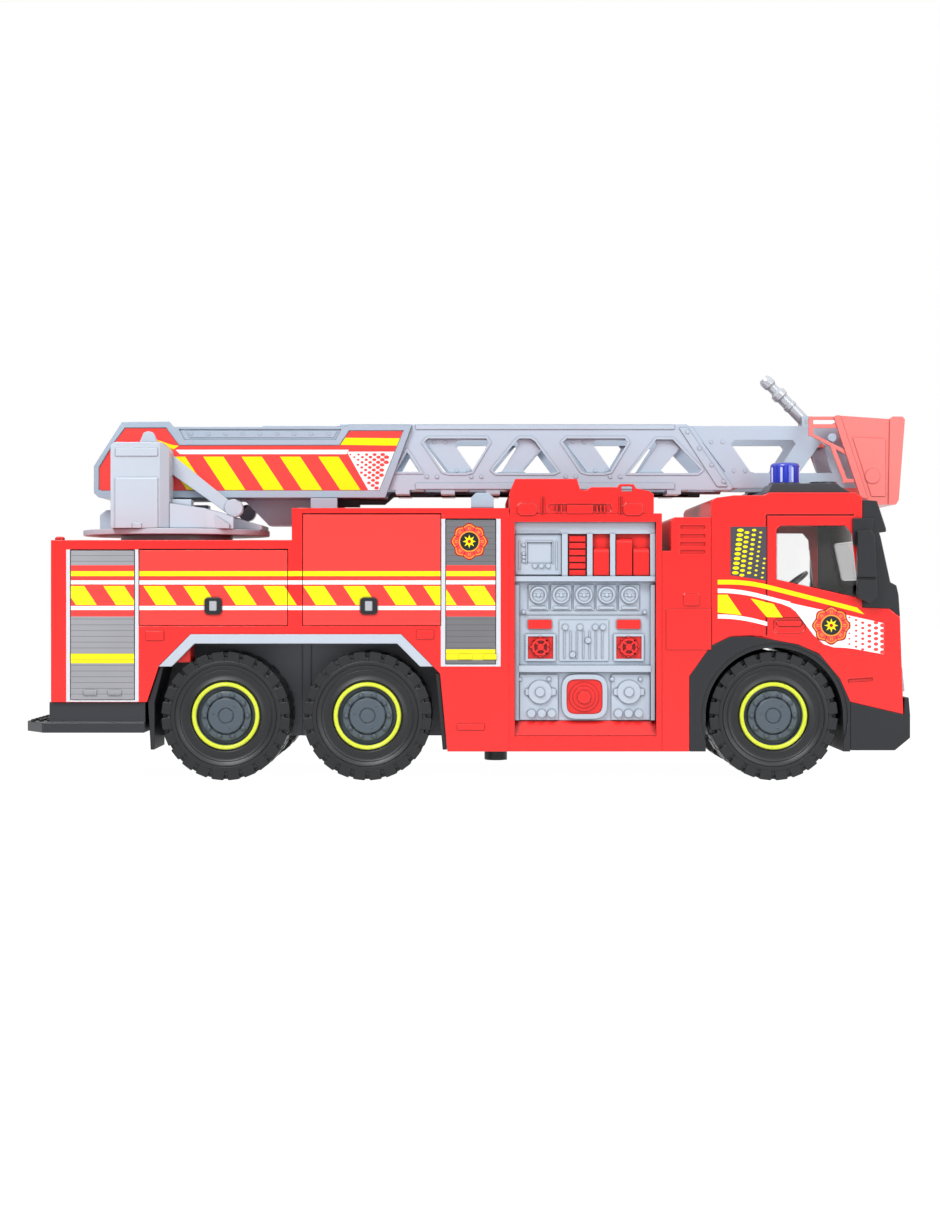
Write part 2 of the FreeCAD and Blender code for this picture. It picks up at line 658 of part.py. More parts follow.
def panel_place(along):
    """A place along the instrument panel, from its rear edge."""
    return panel_rear + (panel_front - panel_rear) * (along / GRID_LENGTH)


def panel_level(up):
    """A height on the instrument panel, from its lower edge."""
    return cell.panel_low + (panel_high - cell.panel_low) * (up / GRID_HEIGHT)


def panel_block(label, rear, front, low, high, height, depth=0):
    """A block on the instrument panel, placed from the panel's rear lower corner."""
    return box(label, panel_place(rear), panel_place(front), panel_plane - height, panel_plane - depth,
               panel_level(low), panel_level(high))


def panel_disc(label, along, up, radius, height, depth=0):
    """A round part on the instrument panel."""
    return rod(label, "y", Size(radius, str(radius)), panel_plane - height, panel_plane - depth,
               panel_place(along), panel_level(up))


sheet_plate = box("panel_plate", panel_rear, panel_front, panel_plane, panel_back, cell.panel_low, panel_high)
blocks = [panel_block(f"panel_block_{index}", *row) for index, row in enumerate(PANEL_BLOCKS)]
discs = [panel_disc(f"panel_disc_{index}", *row) for index, row in enumerate(PANEL_DISCS)]
screen = panel_block("panel_screen", 8.7, 26.2, 109.2, 123.9, 2.6, 1.4)
wells = [panel_block(f"valve_well_{index}", rear, rear + 17.7, 42.9, 58.5, 2.2, 0.8)
         for index, rear in enumerate((9.3, 70.8))]
keep(pair("pump_panels", cut("pump_panel", fuse("pump_panel_solid", sheet_plate, *blocks, *discs), screen,
                             *wells)))


WELL_DEPTH = 0.8
SPOKES = 4


def handwheel(label, along, up):
    """A valve's handwheel: a hub, a rim and spokes, standing in its well."""
    rim = panel_disc(label + "_rim", along, up, 6.2, 3.0, 1.6)
    hollow = panel_disc(label + "_hollow", along, up, 4.6, 4.0, WELL_DEPTH)
    hub = panel_disc(label + "_hub", along, up, 2.2, 3.6, WELL_DEPTH)
    spokes = []
    for index in range(SPOKES):
        spoke = document.addObject("Part::Box", f"{label}_spoke_{index}")
        spoke.Label = spoke.Name
        spoke.Length = 7.0
        spoke.Width = 1.4
        spoke.Height = 1.4
        lean = FreeCAD.Rotation(Vector(0, 1, 0), -45 - 360 * index / SPOKES)
        corner = lean.multVec(Vector(0, 0, -0.7))
        spokes.append(stand(spoke, panel_place(along) + corner.x, panel_plane - 3.0,
                            panel_level(up) + corner.z, lean))
    return fuse(label, cut(label + "_ring", rim, hollow), hub, *spokes)


insert_blocks = [panel_block(f"pump_insert_{index}", *row) for index, row in enumerate((
    (9.5, 25.7, 63.8, 70.0, 2.0), (71.4, 87.6, 63.8, 70.0, 2.0), (35.5, 61.9, 4.0, 29.1, 2.4),
    (9.3, 27.0, 42.9, 58.5, 1.2, 0.8), (70.8, 88.5, 42.9, 58.5, 1.2, 0.8),
    (36.8, 50.4, 100.3, 129.9, 1.0), (54.1, 66.4, 100.3, 129.9, 1.0), (69.9, 94.3, 100.3, 129.9, 1.0)))]
folds = [panel_block(f"hose_fold_{index}", 38.0, 49.2, 101.0 + 4.7 * index, 104.6 + 4.7 * index, 4.0)
         for index in range(6)]
rolls = []
for index, (rear, front, crown) in enumerate(((54.9, 65.6, 116.5), (70.7, 81.6, 123.0), (82.6, 93.5, 116.5))):
    rolls.append(panel_block(f"hose_roll_{index}", rear, front, 101.0, crown, 4.4))
    rolls.append(rod(f"hose_roll_top_{index}", "x", Size(4.0, "4"), panel_place(rear), panel_place(front),
                     panel_plane - 0.4, panel_level(crown)))
dome = [panel_disc(f"pump_dome_{index}", 48.3, 16.4, radius, height, 1)
        for index, (radius, height) in enumerate(((9.9, 3.4), (7.4, 4.4), (4.4, 6.0)))]
wheels_on_panel = [handwheel(f"handwheel_{index}", along, 51.1) for index, along in enumerate((18.2, 79.6))]
keep(pair("pump_inserts", cut("pump_insert", fuse("pump_insert_solid", *insert_blocks, *folds, *rolls, *dome,
                                                  *wheels_on_panel),
                              box("pump_insert_back", panel_rear, panel_front, panel_plane, panel_back + 4,
                                  cell.panel_low, panel_high))))

roof_box = prism("roof_box", "side",
                 [(cell.body_front + 0.4, module_top), (cell.body_front + 0.4, module_top + 14.2),
                  (cell.body_front + 1.4, module_top + 17.0), (cell.body_front + 4.3, module_top + 23.9),
                  (cell.body_front + 47.2, module_top + 23.9), (cell.body_front + 49.5, module_top + 16.5),
                  (cell.body_front + 53, module_top + 15.9), (cell.body_front + 56.6, module_top + 18.1),
                  (cell.body_front + 75, module_top + 18.1), (cell.body_front + 76.5, module_top + 20.3),
                  (cell.body_front + 86.5, module_top + 20.3), (cell.body_front + 88, module_top + 17.4),
                  (cell.body_front + 97.3, module_top + 15.5), (cell.body_front + 100.4, module_top + 13.2),
                  (cell.body_front + 100.4, module_top)],
                 side, side + 34)
pocket(roof_box, "side", rectangle(cell.body_front + 78, cell.body_front + 85.5, module_top + 15.2,
                                   module_top + 18.8),
       side, side + 34)
pocket(roof_box, "side", rectangle(cell.body_front + 74, cell.body_front + 90, module_top + 15.0,
                                   module_top + 21),
       side + 5, side + 34)


def octagon(rear, front, low, high, corner):
    """The outline of a rectangle with cut corners."""
    return [(rear + corner, low), (front - corner, low), (front, low + corner), (front, high - corner),
            (front - corner, high), (rear + corner, high), (rear, high - corner), (rear, low + corner)]


for rear, front in ((5.6, 19.8), (79.0, 93.0)):
    pad(roof_box, "side", octagon(cell.body_front + rear, cell.body_front + front, module_top - 1.6,
                                  module_top + 7.2, 2.4), side - 0.9, side)
pocket(roof_box, "side", octagon(cell.body_front + 27, cell.body_front + 71, module_top + 1.2,
                                 module_top + 6.2, 1.2),
       side, side + 1)
keep(pair("roof_boxes", roof_box))

# ---------------------------------------------------------------- column and cab

front_arch = [
    (cell.front_axle - 59, cell.skirt_low), (cell.front_axle - 59, axle_height + 27.9),
    (cell.cab_rear, axle_height + 49.0), (cell.front_axle - 30.2, axle_height + 55.3),
    (cell.front_axle - 15.2, axle_height + 55.5), (cell.front_axle + 16.3, axle_height + 49.8),
    (cell.front_axle + 31.4, axle_height + 43.0), (cell.front_axle + 45.1, axle_height + 26.5),
    (cell.front_axle + 52.5, cell.tail_low),
]
column = prism("cab_column", "side",
               [(cell.module_front, cell.skirt_low), (cell.module_front, saddle_height),
                (cell.column_rear, saddle_height), (cell.column_rear, column_top - 2),
                (cell.column_rear + 2, column_top), (cell.cab_rear, column_top),
                (cell.cab_rear, axle_height + 49.0), (cell.front_axle - 59, axle_height + 27.9),
                (cell.front_axle - 59, cell.skirt_low)],
               side, -side)
pocket(column, "side", rectangle(cell.module_front + cell.wall, cell.front_axle - 59 - cell.wall,
                                 cell.skirt_low, saddle_height - cell.wall), inside, -inside)
pocket(column, "side", rectangle(cell.column_rear + cell.wall, cell.cab_rear - cell.wall,
                                 axle_height + 55, column_top - cell.wall), inside, -inside)
pocket(column, "front", chassis_tunnel, cell.module_front, cell.front_axle - 59)
for low_y, high_y in ((side, side + 1.1), (-side - 1.1, -side)):
    for drop in (6.8, 12.8, 18.3, 23.8):
        pocket(column, "side", rectangle(cell.column_rear + 6.4, cell.cab_rear - 4.1, column_top - drop - 1.6,
                                         column_top - drop + 1.0), low_y, high_y)
for low_y, high_y in ((side - 0.8, side), (-side, -side + 0.8)):
    pad(column, "side", rectangle(cell.module_front + 2.8, cell.cab_rear, column_top - 91.8,
                                  column_top - 63.3), low_y, high_y)
    pad(column, "side", octagon(cell.column_rear + 8.5, cell.column_rear + 19.5, column_top - 61.3,
                                column_top - 52.8, 1.2), low_y, high_y)
keep(column)

cab = prism("cab_shell", "side",
            [(cell.cab_rear, cab_shoulder - 5.5), (cell.cab_rear + 1.2, cab_shoulder - 3.0),
             (cell.cab_rear + 4, cab_shoulder - 1.6), (cell.cab_rear + 16, cab_shoulder),
             (cell.cab_rear + 36.7, cab_shoulder), (cell.cab_rear + 40.3, cab_roof),
             (screen_rear - 5.4, cab_roof), (screen_rear, cab_roof - 3),
             (screen_rear, cell.cab_floor + 17.2), (cell.cab_front - 9.7, cell.cab_floor + 16.4),
             (cell.cab_front - 2.5, cell.cab_floor + 10.8), (cell.cab_front, cell.tail_low - 8.7)]
            + front_arch[:1:-1],
            side, -side)
cab_room = [
    (cell.cab_rear + cell.wall, cell.cab_floor), (cell.cab_rear + cell.wall, cab_shoulder - 6.5),
    (cell.cab_rear + 5, cab_shoulder - 4.4), (cell.cab_rear + 38, cab_roof - 4.6),
    (screen_rear, cab_roof - 4.6), (screen_rear, cell.cab_floor + 14.8),
    (cell.cab_front - 10.5, cell.cab_floor + 14), (cell.cab_front - 5, cell.cab_floor + 9.4),
    (cell.cab_front - 2.8, cell.tail_low - 4), (cell.front_axle + 54.8, cell.tail_low + 3),
    (cell.front_axle + 47.6, axle_height + 28), (cell.front_axle + 32.5, axle_height + 46.5),
    (cell.front_axle + 17, axle_height + 53), (cell.front_axle - 10, cell.cab_floor),
]
pocket(cab, "side", cab_room, inside, -inside)
window = [
    (screen_rear - 59.5, cab_shoulder - 58.2), (screen_rear - 59.5, cab_shoulder - 24),
    (screen_rear - 56.5, cab_shoulder - 21.1), (screen_rear - 12, cab_shoulder - 21.1),
    (screen_rear - 7.5, cab_shoulder - 26.5), (screen_rear - 2.4, cab_shoulder - 71),
]
pocket(cab, "side", window, side, -side)
door_rear = screen_rear - 66.2
seam = 0.7
for low_y, high_y in ((side, side + 0.9), (-side - 0.9, -side)):
    pocket(cab, "side", rectangle(door_rear - seam, door_rear, cell.cab_floor - 2, cab_shoulder - 14), low_y,
           high_y)
    pocket(cab, "side", [(door_rear - seam, cab_shoulder - 14), (screen_rear - 6, cab_shoulder - 14),
                         (screen_rear - 6, cab_shoulder - 14 + seam),
                         (door_rear - seam, cab_shoulder - 14 + seam)],
           low_y, high_y)
    pocket(cab, "side", octagon(door_rear + 4.5, door_rear + 26.5, cell.cab_floor - 0.8,
                                cell.cab_floor + 10.5, 2.6),
           low_y, high_y)
    pocket(cab, "side", [(screen_rear - 10, cell.tail_low + 13.6),
                         (screen_rear + 7, cell.tail_low + 14.8),
                         (screen_rear + 7, cell.tail_low + 16.8),
                         (screen_rear - 10, cell.tail_low + 15.6)],
           low_y, high_y)
for low_y, high_y in ((side + 0.3, side + 0.9), (-side - 0.9, -side - 0.3)):
    pad(cab, "side", octagon(door_rear + 6.5, door_rear + 24.5, cell.cab_floor + 4.0, cell.cab_floor + 8.5,
                             1.6),
        low_y, high_y)
pocket(cab, "front", rectangle(-cell.grille_half, cell.grille_half, cell.tail_low + 14, cell.tail_low + 52),
       screen_rear + 18, bumper_front)
keep(cab)


def nose(up):
    """Where the cab's front face is at a height above the tail's lower edge."""
    fall = (up + 8.7) / (value_of(cell.cab_floor) + 10.8 - value_of(cell.tail_low) + 8.7)
    return cell.cab_front - 2.5 * fall


grille = prism("grille", "side",
               [(nose(14) - 2.6, cell.tail_low + 14), (nose(14) - 1.4, cell.tail_low + 14),
                (nose(52) - 1.4, cell.tail_low + 52), (nose(52) - 2.6, cell.tail_low + 52)],
               -cell.grille_half, cell.grille_half)
for index in range(5):
    up = 17.0 + 7.2 * index
    pad(grille, "side", [(nose(up) - 2, cell.tail_low + up), (nose(up) + 0.8, cell.tail_low + up),
                         (nose(up + 3.6) + 0.8, cell.tail_low + up + 3.6),
                         (nose(up + 3.6) - 2, cell.tail_low + up + 3.6)],
        -cell.grille_half, cell.grille_half)
keep(grille)

pane = [
    (screen_rear - 59.5 + cell.gap, cab_shoulder - 58.2 + cell.gap * 1.3),
    (screen_rear - 59.5 + cell.gap, cab_shoulder - 24 - cell.gap * 0.4),
    (screen_rear - 56.5 + cell.gap * 0.4, cab_shoulder - 21.1 - cell.gap),
    (screen_rear - 12 - cell.gap * 0.5, cab_shoulder - 21.1 - cell.gap),
    (screen_rear - 7.5 - cell.gap, cab_shoulder - 26.5 - cell.gap * 0.5),
    (screen_rear - 2.4 - cell.gap, cab_shoulder - 71 + cell.gap * 1.3),
]
pane_place = side + (cell.wall - cell.glass) / 2
keep(pair("side_glass", prism("side_pane", "side", pane, pane_place, pane_place + cell.glass)))

surround = prism("windscreen_surround", "side",
                 [(screen_rear, cell.cab_floor + 17.2), (screen_rear, cab_roof - 5.1),
                  (screen_rear + 10, cab_roof - 5.8), (screen_rear + 16.3, cab_roof - 25),
                  (screen_rear + 16.3, cab_roof - 27.4), (screen_rear + 11.5, cab_roof - 27.8),
                  (screen_rear + 12.5, cab_roof - 30.6),
                  (screen_rear + 19.3, cell.cab_floor + 34.8),
                  (screen_rear + 23.5, cell.cab_floor + 32.6),
                  (screen_rear + 25, cell.cab_floor + 25.8),
                  (cell.cab_front - 2.5, cell.cab_floor + 10.8),
                  (cell.cab_front - 9.7, cell.cab_floor + 16.4)],
                 side, -side)
pocket(surround, "side",
       [(screen_rear, cell.cab_floor + 19.6), (screen_rear, cab_roof - 7.5),
        (screen_rear + 8, cab_roof - 8.2), (screen_rear + 10.1, cab_roof - 30),
        (screen_rear + 16.9, cell.cab_floor + 33), (screen_rear + 20.5, cell.cab_floor + 29),
        (screen_rear + 19, cell.cab_floor + 19.6)], inside, -inside)
screen_half = cell.half_width - 9
pocket(surround, "front", rectangle(-screen_half, screen_half, cell.cab_floor + 37, cab_roof - 31.4),
       screen_rear, screen_rear + 30)
keep(surround)
keep(prism("windscreen_glass", "side",
           [(screen_rear + 11.0, cab_roof - 32), (screen_rear + 12.2, cab_roof - 32),
            (screen_rear + 18.3, cell.cab_floor + 37.4),
            (screen_rear + 17.1, cell.cab_floor + 37.4)],
           -screen_half + cell.gap, screen_half - cell.gap))

interior_half = cell.half_width - 9
interior = prism("cab_bench", "side",
                 [(cell.cab_rear + 4, cell.cab_floor), (cell.cab_rear + 4, cell.cab_floor + 2),
                  (screen_rear - 20, cell.cab_floor + 2), (screen_rear - 16, cell.cab_floor + 24),
                  (screen_rear - 4, cell.cab_floor + 20), (screen_rear - 4, cell.cab_floor)],
                 -interior_half, interior_half)
seat_outline = [(cell.cab_rear + 12, cell.cab_floor + 2), (cell.cab_rear + 12, cell.cab_floor + 14),
                (cell.cab_rear + 8, cell.cab_floor + 52), (cell.cab_rear + 10, cell.cab_floor + 66),
                (cell.cab_rear + 16, cell.cab_floor + 66), (cell.cab_rear + 22, cell.cab_floor + 24),
                (cell.cab_rear + 46, cell.cab_floor + 22), (cell.cab_rear + 48, cell.cab_floor + 2)]
for left, right in ((-interior_half + 6, -interior_half + 52), (interior_half - 52, interior_half - 6)):
    pad(interior, "side", seat_outline, left, right)
wheel_place = interior_half - 30
steering = turned("steering_wheel", [(12.6, 0), (15.4, 0), (15.4, 2.6), (12.6, 2.6)], (-0.62, 0, 0.78),
                  screen_rear - 26, wheel_place, cell.cab_floor + 33)
boss_of_wheel = turned("steering_boss", [(0, -14), (2.2, -14), (2.2, 1.4), (0, 1.4)], (-0.62, 0, 0.78),
                       screen_rear - 26, wheel_place, cell.cab_floor + 33)
spoke = box("steering_spoke", screen_rear - 27.6, screen_rear - 25.0, wheel_place - 14,
            wheel_place + 14, cell.cab_floor + 32.0, cell.cab_floor + 34.4)
keep(fuse("cab_interior", interior, steering, boss_of_wheel, spoke))

# ---------------------------------------------------------------- cab's outside pieces

tray = prism("tray_body", "side",
             [(cell.cab_rear + 40.3, cab_roof), (cell.cab_rear + 41.5, cab_roof + 2.2),
              (cell.cab_rear + 44, cab_roof + cell.tray_height),
              (screen_rear - 16, cab_roof + cell.tray_height),
              (screen_rear - 13, cab_roof + 4.2), (screen_rear - 5.4, cab_roof)],
             side + 9, -side - 9)
pocket(tray, "front", rectangle(-cell.boom_half - 3, cell.boom_half + 3, cab_roof + 3,
                                cab_roof + cell.tray_height), cell.cab_rear + 40, screen_rear)
tray_top = cab_roof + cell.tray_height
cap = rod("tray_cap", "z", Size(9.6, "9.6"), tray_top, tray_top + 2.0, beacon_place + 27,
          -cell.beacon_side)
keep(fuse("light_tray", tray, cap, mirrored("tray_cap_left", cap)))
lens = turned("beacon_lens", [(0, 0), (cell.beacon_radius, 0), (cell.beacon_radius, cell.beacon_height - 2.2),
                              (cell.beacon_radius - 0.8, cell.beacon_height - 0.7),
                              (cell.beacon_radius - 2.4, cell.beacon_height), (0, cell.beacon_height)],
              (0, 0, 1), beacon_place, -cell.beacon_side, tray_top)
keep(pair("beacons", lens))

mirror_outer = side - 8
mirror_outline = [(screen_rear - 5, cell.cab_floor + 24), (screen_rear + 4, cell.cab_floor + 20),
                  (screen_rear + 9, cell.cab_floor + 24), (screen_rear + 7, cab_roof - 30),
                  (screen_rear + 4, cab_roof - 26), (screen_rear - 5, cab_roof - 27)]
mirror_head = prism("mirror_head", "side", mirror_outline, mirror_outer, mirror_outer + 4.5)
pocket(mirror_head, "side", rectangle(screen_rear - 5, screen_rear + 9, cell.cab_floor + 36.6,
                                      cell.cab_floor + 38.2), mirror_outer, mirror_outer + 2)
mirror_arms = [box(f"mirror_arm_{row}", screen_rear - 4, screen_rear + 2, mirror_outer + 2, side,
                   low, low + 5) for row, low in (("low", cell.cab_floor + 24), ("high", cab_roof - 33))]
hinge_plate = prism("mirror_plate", "side",
                    [(screen_rear - 7, cab_roof - 18), (screen_rear - 7, cab_roof - 36),
                     (screen_rear, cab_roof - 40), (screen_rear + 6, cab_roof - 40),
                     (screen_rear + 8, cab_roof - 18)], side - 1.6, side)
keep(pair("mirrors", fuse("mirror_right", mirror_head, *mirror_arms, hinge_plate)))

bumper = prism("front_bumper", "side",
               [(cell.front_axle + 52.5, cell.bumper_low), (cell.front_axle + 52.5, cell.tail_low),
                (cell.cab_front, cell.tail_low - 8.7), (cell.cab_front + 0.5, cell.tail_low + 3.3),
                (cell.cab_front + 3.5, cell.tail_low + 3.3), (bumper_front, cell.tail_low - 8.7),
                (bumper_front, cell.bumper_low + 8.7), (bumper_front - 10.5, cell.bumper_low)],
               side, -side)
pocket(bumper, "side",
       [(cell.front_axle + 52.5, cell.bumper_low), (cell.front_axle + 52.5, cell.tail_low - 2.4),
        (cell.cab_front - 1, cell.tail_low - 11), (bumper_front - 2.6, cell.bumper_low + 9.8),
        (bumper_front - 11.5, cell.bumper_low + 2.4), (cell.front_axle + 60, cell.bumper_low + 2.4),
        (cell.front_axle + 60, cell.bumper_low)], inside, -inside)
pocket(bumper, "front", octagon(-cell.grille_half + 10, cell.grille_half - 10, cell.bumper_low + 10,
                                cell.bumper_low + 20, 3), bumper_front - 1.2, bumper_front)
keep(bumper)

arch_blank = prism("front_arch_blank", "side",
                   front_arch + [(cell.front_axle + 52.5, cell.skirt_low)], side, -cell.liner_half)
arch_hole = rod("front_arch_hole", "y", cell.front_arch_radius, side - 1, -cell.liner_half + 1,
                cell.front_axle, axle_height)
arch_slot = box("front_arch_slot", cell.front_axle - cell.front_arch_radius,
                cell.front_axle + cell.front_arch_radius, side - 1, -cell.liner_half + 1,
                cell.skirt_low - 5, axle_height)
arch_step = rod("front_arch_step", "y", cell.front_arch_radius + 3, side - 1, side + 1.2, cell.front_axle,
                axle_height)
keep(pair("front_arches", cut("front_arch", arch_blank, arch_hole, arch_slot, arch_step)))

headlight = prism("headlight", "side",
                  [(nose(6), cell.tail_low + 6), (nose(6) + 2.2, cell.tail_low + 7.5),
                   (nose(23) + 1.2, cell.tail_low + 23.5), (nose(25), cell.tail_low + 25)], side + 5,
                  side + 33)
keep(pair("headlights", headlight))

# ---------------------------------------------------------------- roof blocks

guide = box("ladder_guide", cell.step_face + 9.5, cell.step_face + 28.5, -cell.boom_half - 7.5,
            -cell.boom_half - 1.5, roof_height, roof_height + 9)
pad_rear = cell.body_front - 26.3
pad_front = cell.body_front - 10.5
roof_pad = prism("roof_pad", "side",
                 [(pad_rear, roof_height), (pad_rear, roof_height + 7.3),
                  (pad_rear + 3.5, roof_height + 10.8), (pad_front - 3.5, roof_height + 10.8),
                  (pad_front, roof_height + 7.3), (pad_front, roof_height)], side + 4, side + 12)
keep(group("roof_blocks", guide, mirrored("ladder_guide_left", guide), roof_pad,
           mirrored("roof_pad_left", roof_pad)))

# ---------------------------------------------------------------- wheels
# One right-hand wheel is made on the origin's line and put at each axle, with its mirror image.

axle_end = wheel_outer + 6
hub_seat = cell.tyre_width - 2
hub_blank = turned("hub_blank",
                   [(0, 0.8), (4, 0.8), (4, 1.5), (9, 1.5), (9, 3.4), (cell.nut_circle - 2.6, 3.4),
                    (cell.nut_circle - 2.6, 5), (cell.ring_bore, 5), (cell.ring_bore, 0),
                    (cell.ring_radius, 0),
                    (cell.ring_radius, 2), (cell.rim_radius, 2), (cell.rim_radius, hub_seat),
                    (cell.ring_radius, hub_seat), (cell.ring_radius, 9), (7, 9), (7, hub_seat),
                    (0, hub_seat)],
                   (0, 1, 0), zero, wheel_outer, axle_height)
hub_bore = rod("hub_bore", "y", cell.axle_radius, axle_end, wheel_inner, zero, axle_height)
NUTS = 10
nuts = []
for index in range(NUTS):
    turn = math.radians(360 * (index + 0.5) / NUTS)
    nuts.append(polygon(f"wheel_nut_{index}", "y", 6, cell.nut_radius, wheel_outer + 3, wheel_outer + 5.5,
                        cell.nut_circle * math.cos(turn), axle_height + cell.nut_circle * math.sin(turn)))
hub = fuse("hub", cut("hub_bored", hub_blank, hub_bore), *nuts)

LUGS = 24
tread_ring = polygon("tyre_tread", "y", LUGS, cell.tread_floor, wheel_outer, wheel_inner, zero, axle_height)
bead = polygon("tyre_bead", "y", LUGS, cell.rim_radius, wheel_outer - 1, wheel_inner + 1, zero, axle_height)
lug_rows = []
for row, outer, sign, turn in (("outer", wheel_outer, 1, 180.0 / LUGS), ("inner", wheel_inner, -1, 0.0)):
    lugs = document.addObject("PartDesign::Body", f"lugs_{row}")
    lugs.Label = lugs.Name
    low_y, high_y = sorted((outer, outer + sign * cell.lug_reach), key=value_of)
    pad(lugs, "side", rectangle(-cell.lug_width / 2, cell.lug_width / 2, cell.tread_floor - 1,
                                cell.wheel_radius),
        low_y, high_y)
    around(lugs, "Y_Axis", LUGS)
    lug_rows.append(stand(lugs, zero, zero, axle_height, FreeCAD.Rotation(Vector(0, 1, 0), turn)))
tyre = cut("tyre", fuse("tyre_solid", tread_ring, *lug_rows), bead)


def wheel_set(name, place):
    """One axle: a steel rod, two hubs pressed on it and two tyres on the hubs."""
    keep(rod(f"{name}_axle", "y", cell.axle_radius, axle_end, -axle_end, place, axle_height))
    keep(stand(pair(f"{name}_hubs", hub), place, zero, zero))
    keep(stand(pair(f"{name}_tyres", tyre), place, zero, zero))


for name, place in axles.items():
    wheel_set(name, place)

# ---------------------------------------------------------------- turntable

plate = rod("table_plate", "z", cell.table_radius, table_low, table_top, cell.pivot_place, zero)
collar = rod("table_collar", "z", cell.table_radius * 0.6, cell.deck_height + cell.table_clearance,
             table_low, cell.pivot_place, zero)
pin = rod("table_pin", "z", cell.pivot_radius, cell.deck_height - cell.pivot_depth,
          cell.deck_height + cell.table_clearance, cell.pivot_place, zero)
rest_half = Size(24, "24")
wedge = prism("table_wedge", "side",
              [(cell.pivot_place + 4, table_top), (cell.pivot_place + 4, table_top + 17),
               (cell.pivot_place + 41, table_top + 10), (cell.pivot_place + 65, table_top + 3.6),
               (cell.pivot_place + 65, table_top)], -rest_half, rest_half)
rear_rest = prism("table_rest", "side",
                  [(cell.pivot_place - 52.6, table_top), (cell.pivot_place - 52.6, table_top + 11),
                   (cell.pivot_place - 48, table_top + 14.5), (cell.pivot_place - 41.2, table_top + 14.5),
                   (cell.pivot_place - 41.2, table_top)], -rest_half, rest_half)
keep(fuse("turntable_base", plate, collar, pin, wedge, rear_rest))

tower_rear = cell.lift_place - 9.7
tower_front = cell.lift_place + 30.8
tower_outer = -cell.tower_inner - cell.tower_width
tower = prism("tower_blank", "side",
              [(tower_rear, table_top), (tower_rear, tower_top - 2.5), (tower_rear + 2.5, tower_top),
               (tower_front - 5, tower_top), (tower_front, tower_top - 5), (tower_front, table_top)],
              tower_outer, -cell.tower_inner)
pocket(tower, "plan", [(tower_front, tower_outer), (tower_front - 6, tower_outer),
                       (tower_front, tower_outer + 6)],
       table_top, tower_top)
for near, rear, front, low, high in ((1.2, 3.6, 33.4, table_top, table_top + 35.4),
                                     (0.8, 3.6, 33.4, tower_top - 10, tower_top - 4)):
    pad(tower, "side", rectangle(tower_rear + rear, tower_rear + front, low, high), tower_outer - near,
        tower_outer)
pad(tower, "side", rectangle(tower_rear + 15.8, tower_rear + 22, table_top, table_top + 3.6),
    tower_outer - 2, tower_outer - 1)
pad(tower, "side", [(tower_rear + 19, tower_top), (tower_rear + 22, tower_top + 7.2),
                    (tower_rear + 25.5, tower_top + 8.4),
                    (tower_rear + 29, tower_top + 7.2), (tower_rear + 32, tower_top)],
    tower_outer + 8, tower_outer + 13)
pad(tower, "side", [(tower_front, lift_height + 2), (tower_front, lift_height - 12),
                    (tower_front + 41, lift_height - 41), (tower_front + 47, lift_height - 36)],
    -cell.tower_inner - 6, -cell.tower_inner)
pad(tower, "side", rectangle(tower_front, tower_front + 14.5, table_top, table_top + 21),
    -cell.tower_inner - 14, -cell.tower_inner)
pad(tower, "side", [(tower_front, table_top), (tower_front, table_top + 16),
                    (tower_front + 30, table_top + 10.5),
                    (tower_front + 42, table_top + 3), (tower_front + 42, table_top)],
    tower_outer + 9, -cell.tower_inner)
arm_boss = rod("arm_boss", "y", Size(6.4, "6.4"), -cell.tower_inner - 7.5, -cell.tower_inner,
               tower_front + 44, lift_height - 36)
seat = rod("trunnion_seat", "y", cell.lift_radius + cell.running, -cell.tower_inner - 8,
           -cell.tower_inner + 1, cell.lift_place, lift_height)
keep(pair("turntable_towers", cut("tower", fuse("tower_solid", tower, arm_boss), seat)))

# ---------------------------------------------------------------- boom and outer ladder

boom_rear = cell.lift_place - 26.9
boom_side = prism("boom_side", "side",
                  [(boom_rear, boom_low + 3.3), (boom_rear, boom_low + 22.5),
                   (boom_rear + 11.5, boom_high - 10), (boom_rear + 20.2, boom_high + 3.5),
                   (boom_rear + 54.2, boom_high + 3.8), (boom_rear + 57.4, boom_high),
                   (cell.boom_toe - 48, boom_high), (cell.boom_toe - 43.3, boom_high + 1.5),
                   (cell.boom_toe, boom_high + 1.2), (cell.boom_heel, boom_low),
                   (boom_rear + 3.5, boom_low)],
                  -cell.boom_half, -cell.boom_half + cell.boom_panel)
pocket(boom_side, "side",
       [(boom_rear + 3.4, boom_low + 5.5), (boom_rear + 3.4, boom_low + 21.5),
        (boom_rear + 14.4, boom_high - 11),
        (boom_rear + 22.2, boom_high - 0.4), (boom_rear + 52, boom_high - 0.4),
        (boom_rear + 61.5, boom_low + 37.9),
        (cell.boom_toe - 52, boom_low + 37.9), (cell.boom_toe - 45, boom_high - 2.4),
        (cell.boom_toe - 5.5, boom_high - 2.4), (cell.boom_heel - 4, boom_low + 4.6),
        (boom_rear + 6, boom_low + 4.6)], -cell.boom_half, -cell.boom_half + 0.8)
pocket(boom_side, "side", [(boom_rear + 65, boom_high - 9.5), (boom_rear + 61, boom_high - 1.6),
                           (cell.boom_toe - 50.5, boom_high - 1.6), (cell.boom_toe - 54.5, boom_high - 9.5)],
       -cell.boom_half, -cell.boom_half + 0.8)
trunnion = rod("trunnion", "y", cell.lift_radius, -cell.tower_inner - 7, -cell.boom_half + 1,
               cell.lift_place, lift_height)
RIVETS = 9
rivets = [rod(f"boom_rivet_{index}", "y", Size(1.1, "1.1"), -cell.boom_half + 0.1, -cell.boom_half + 1,
              boom_rear + 70 + 12.34 * index, boom_high - 5) for index in range(RIVETS)]
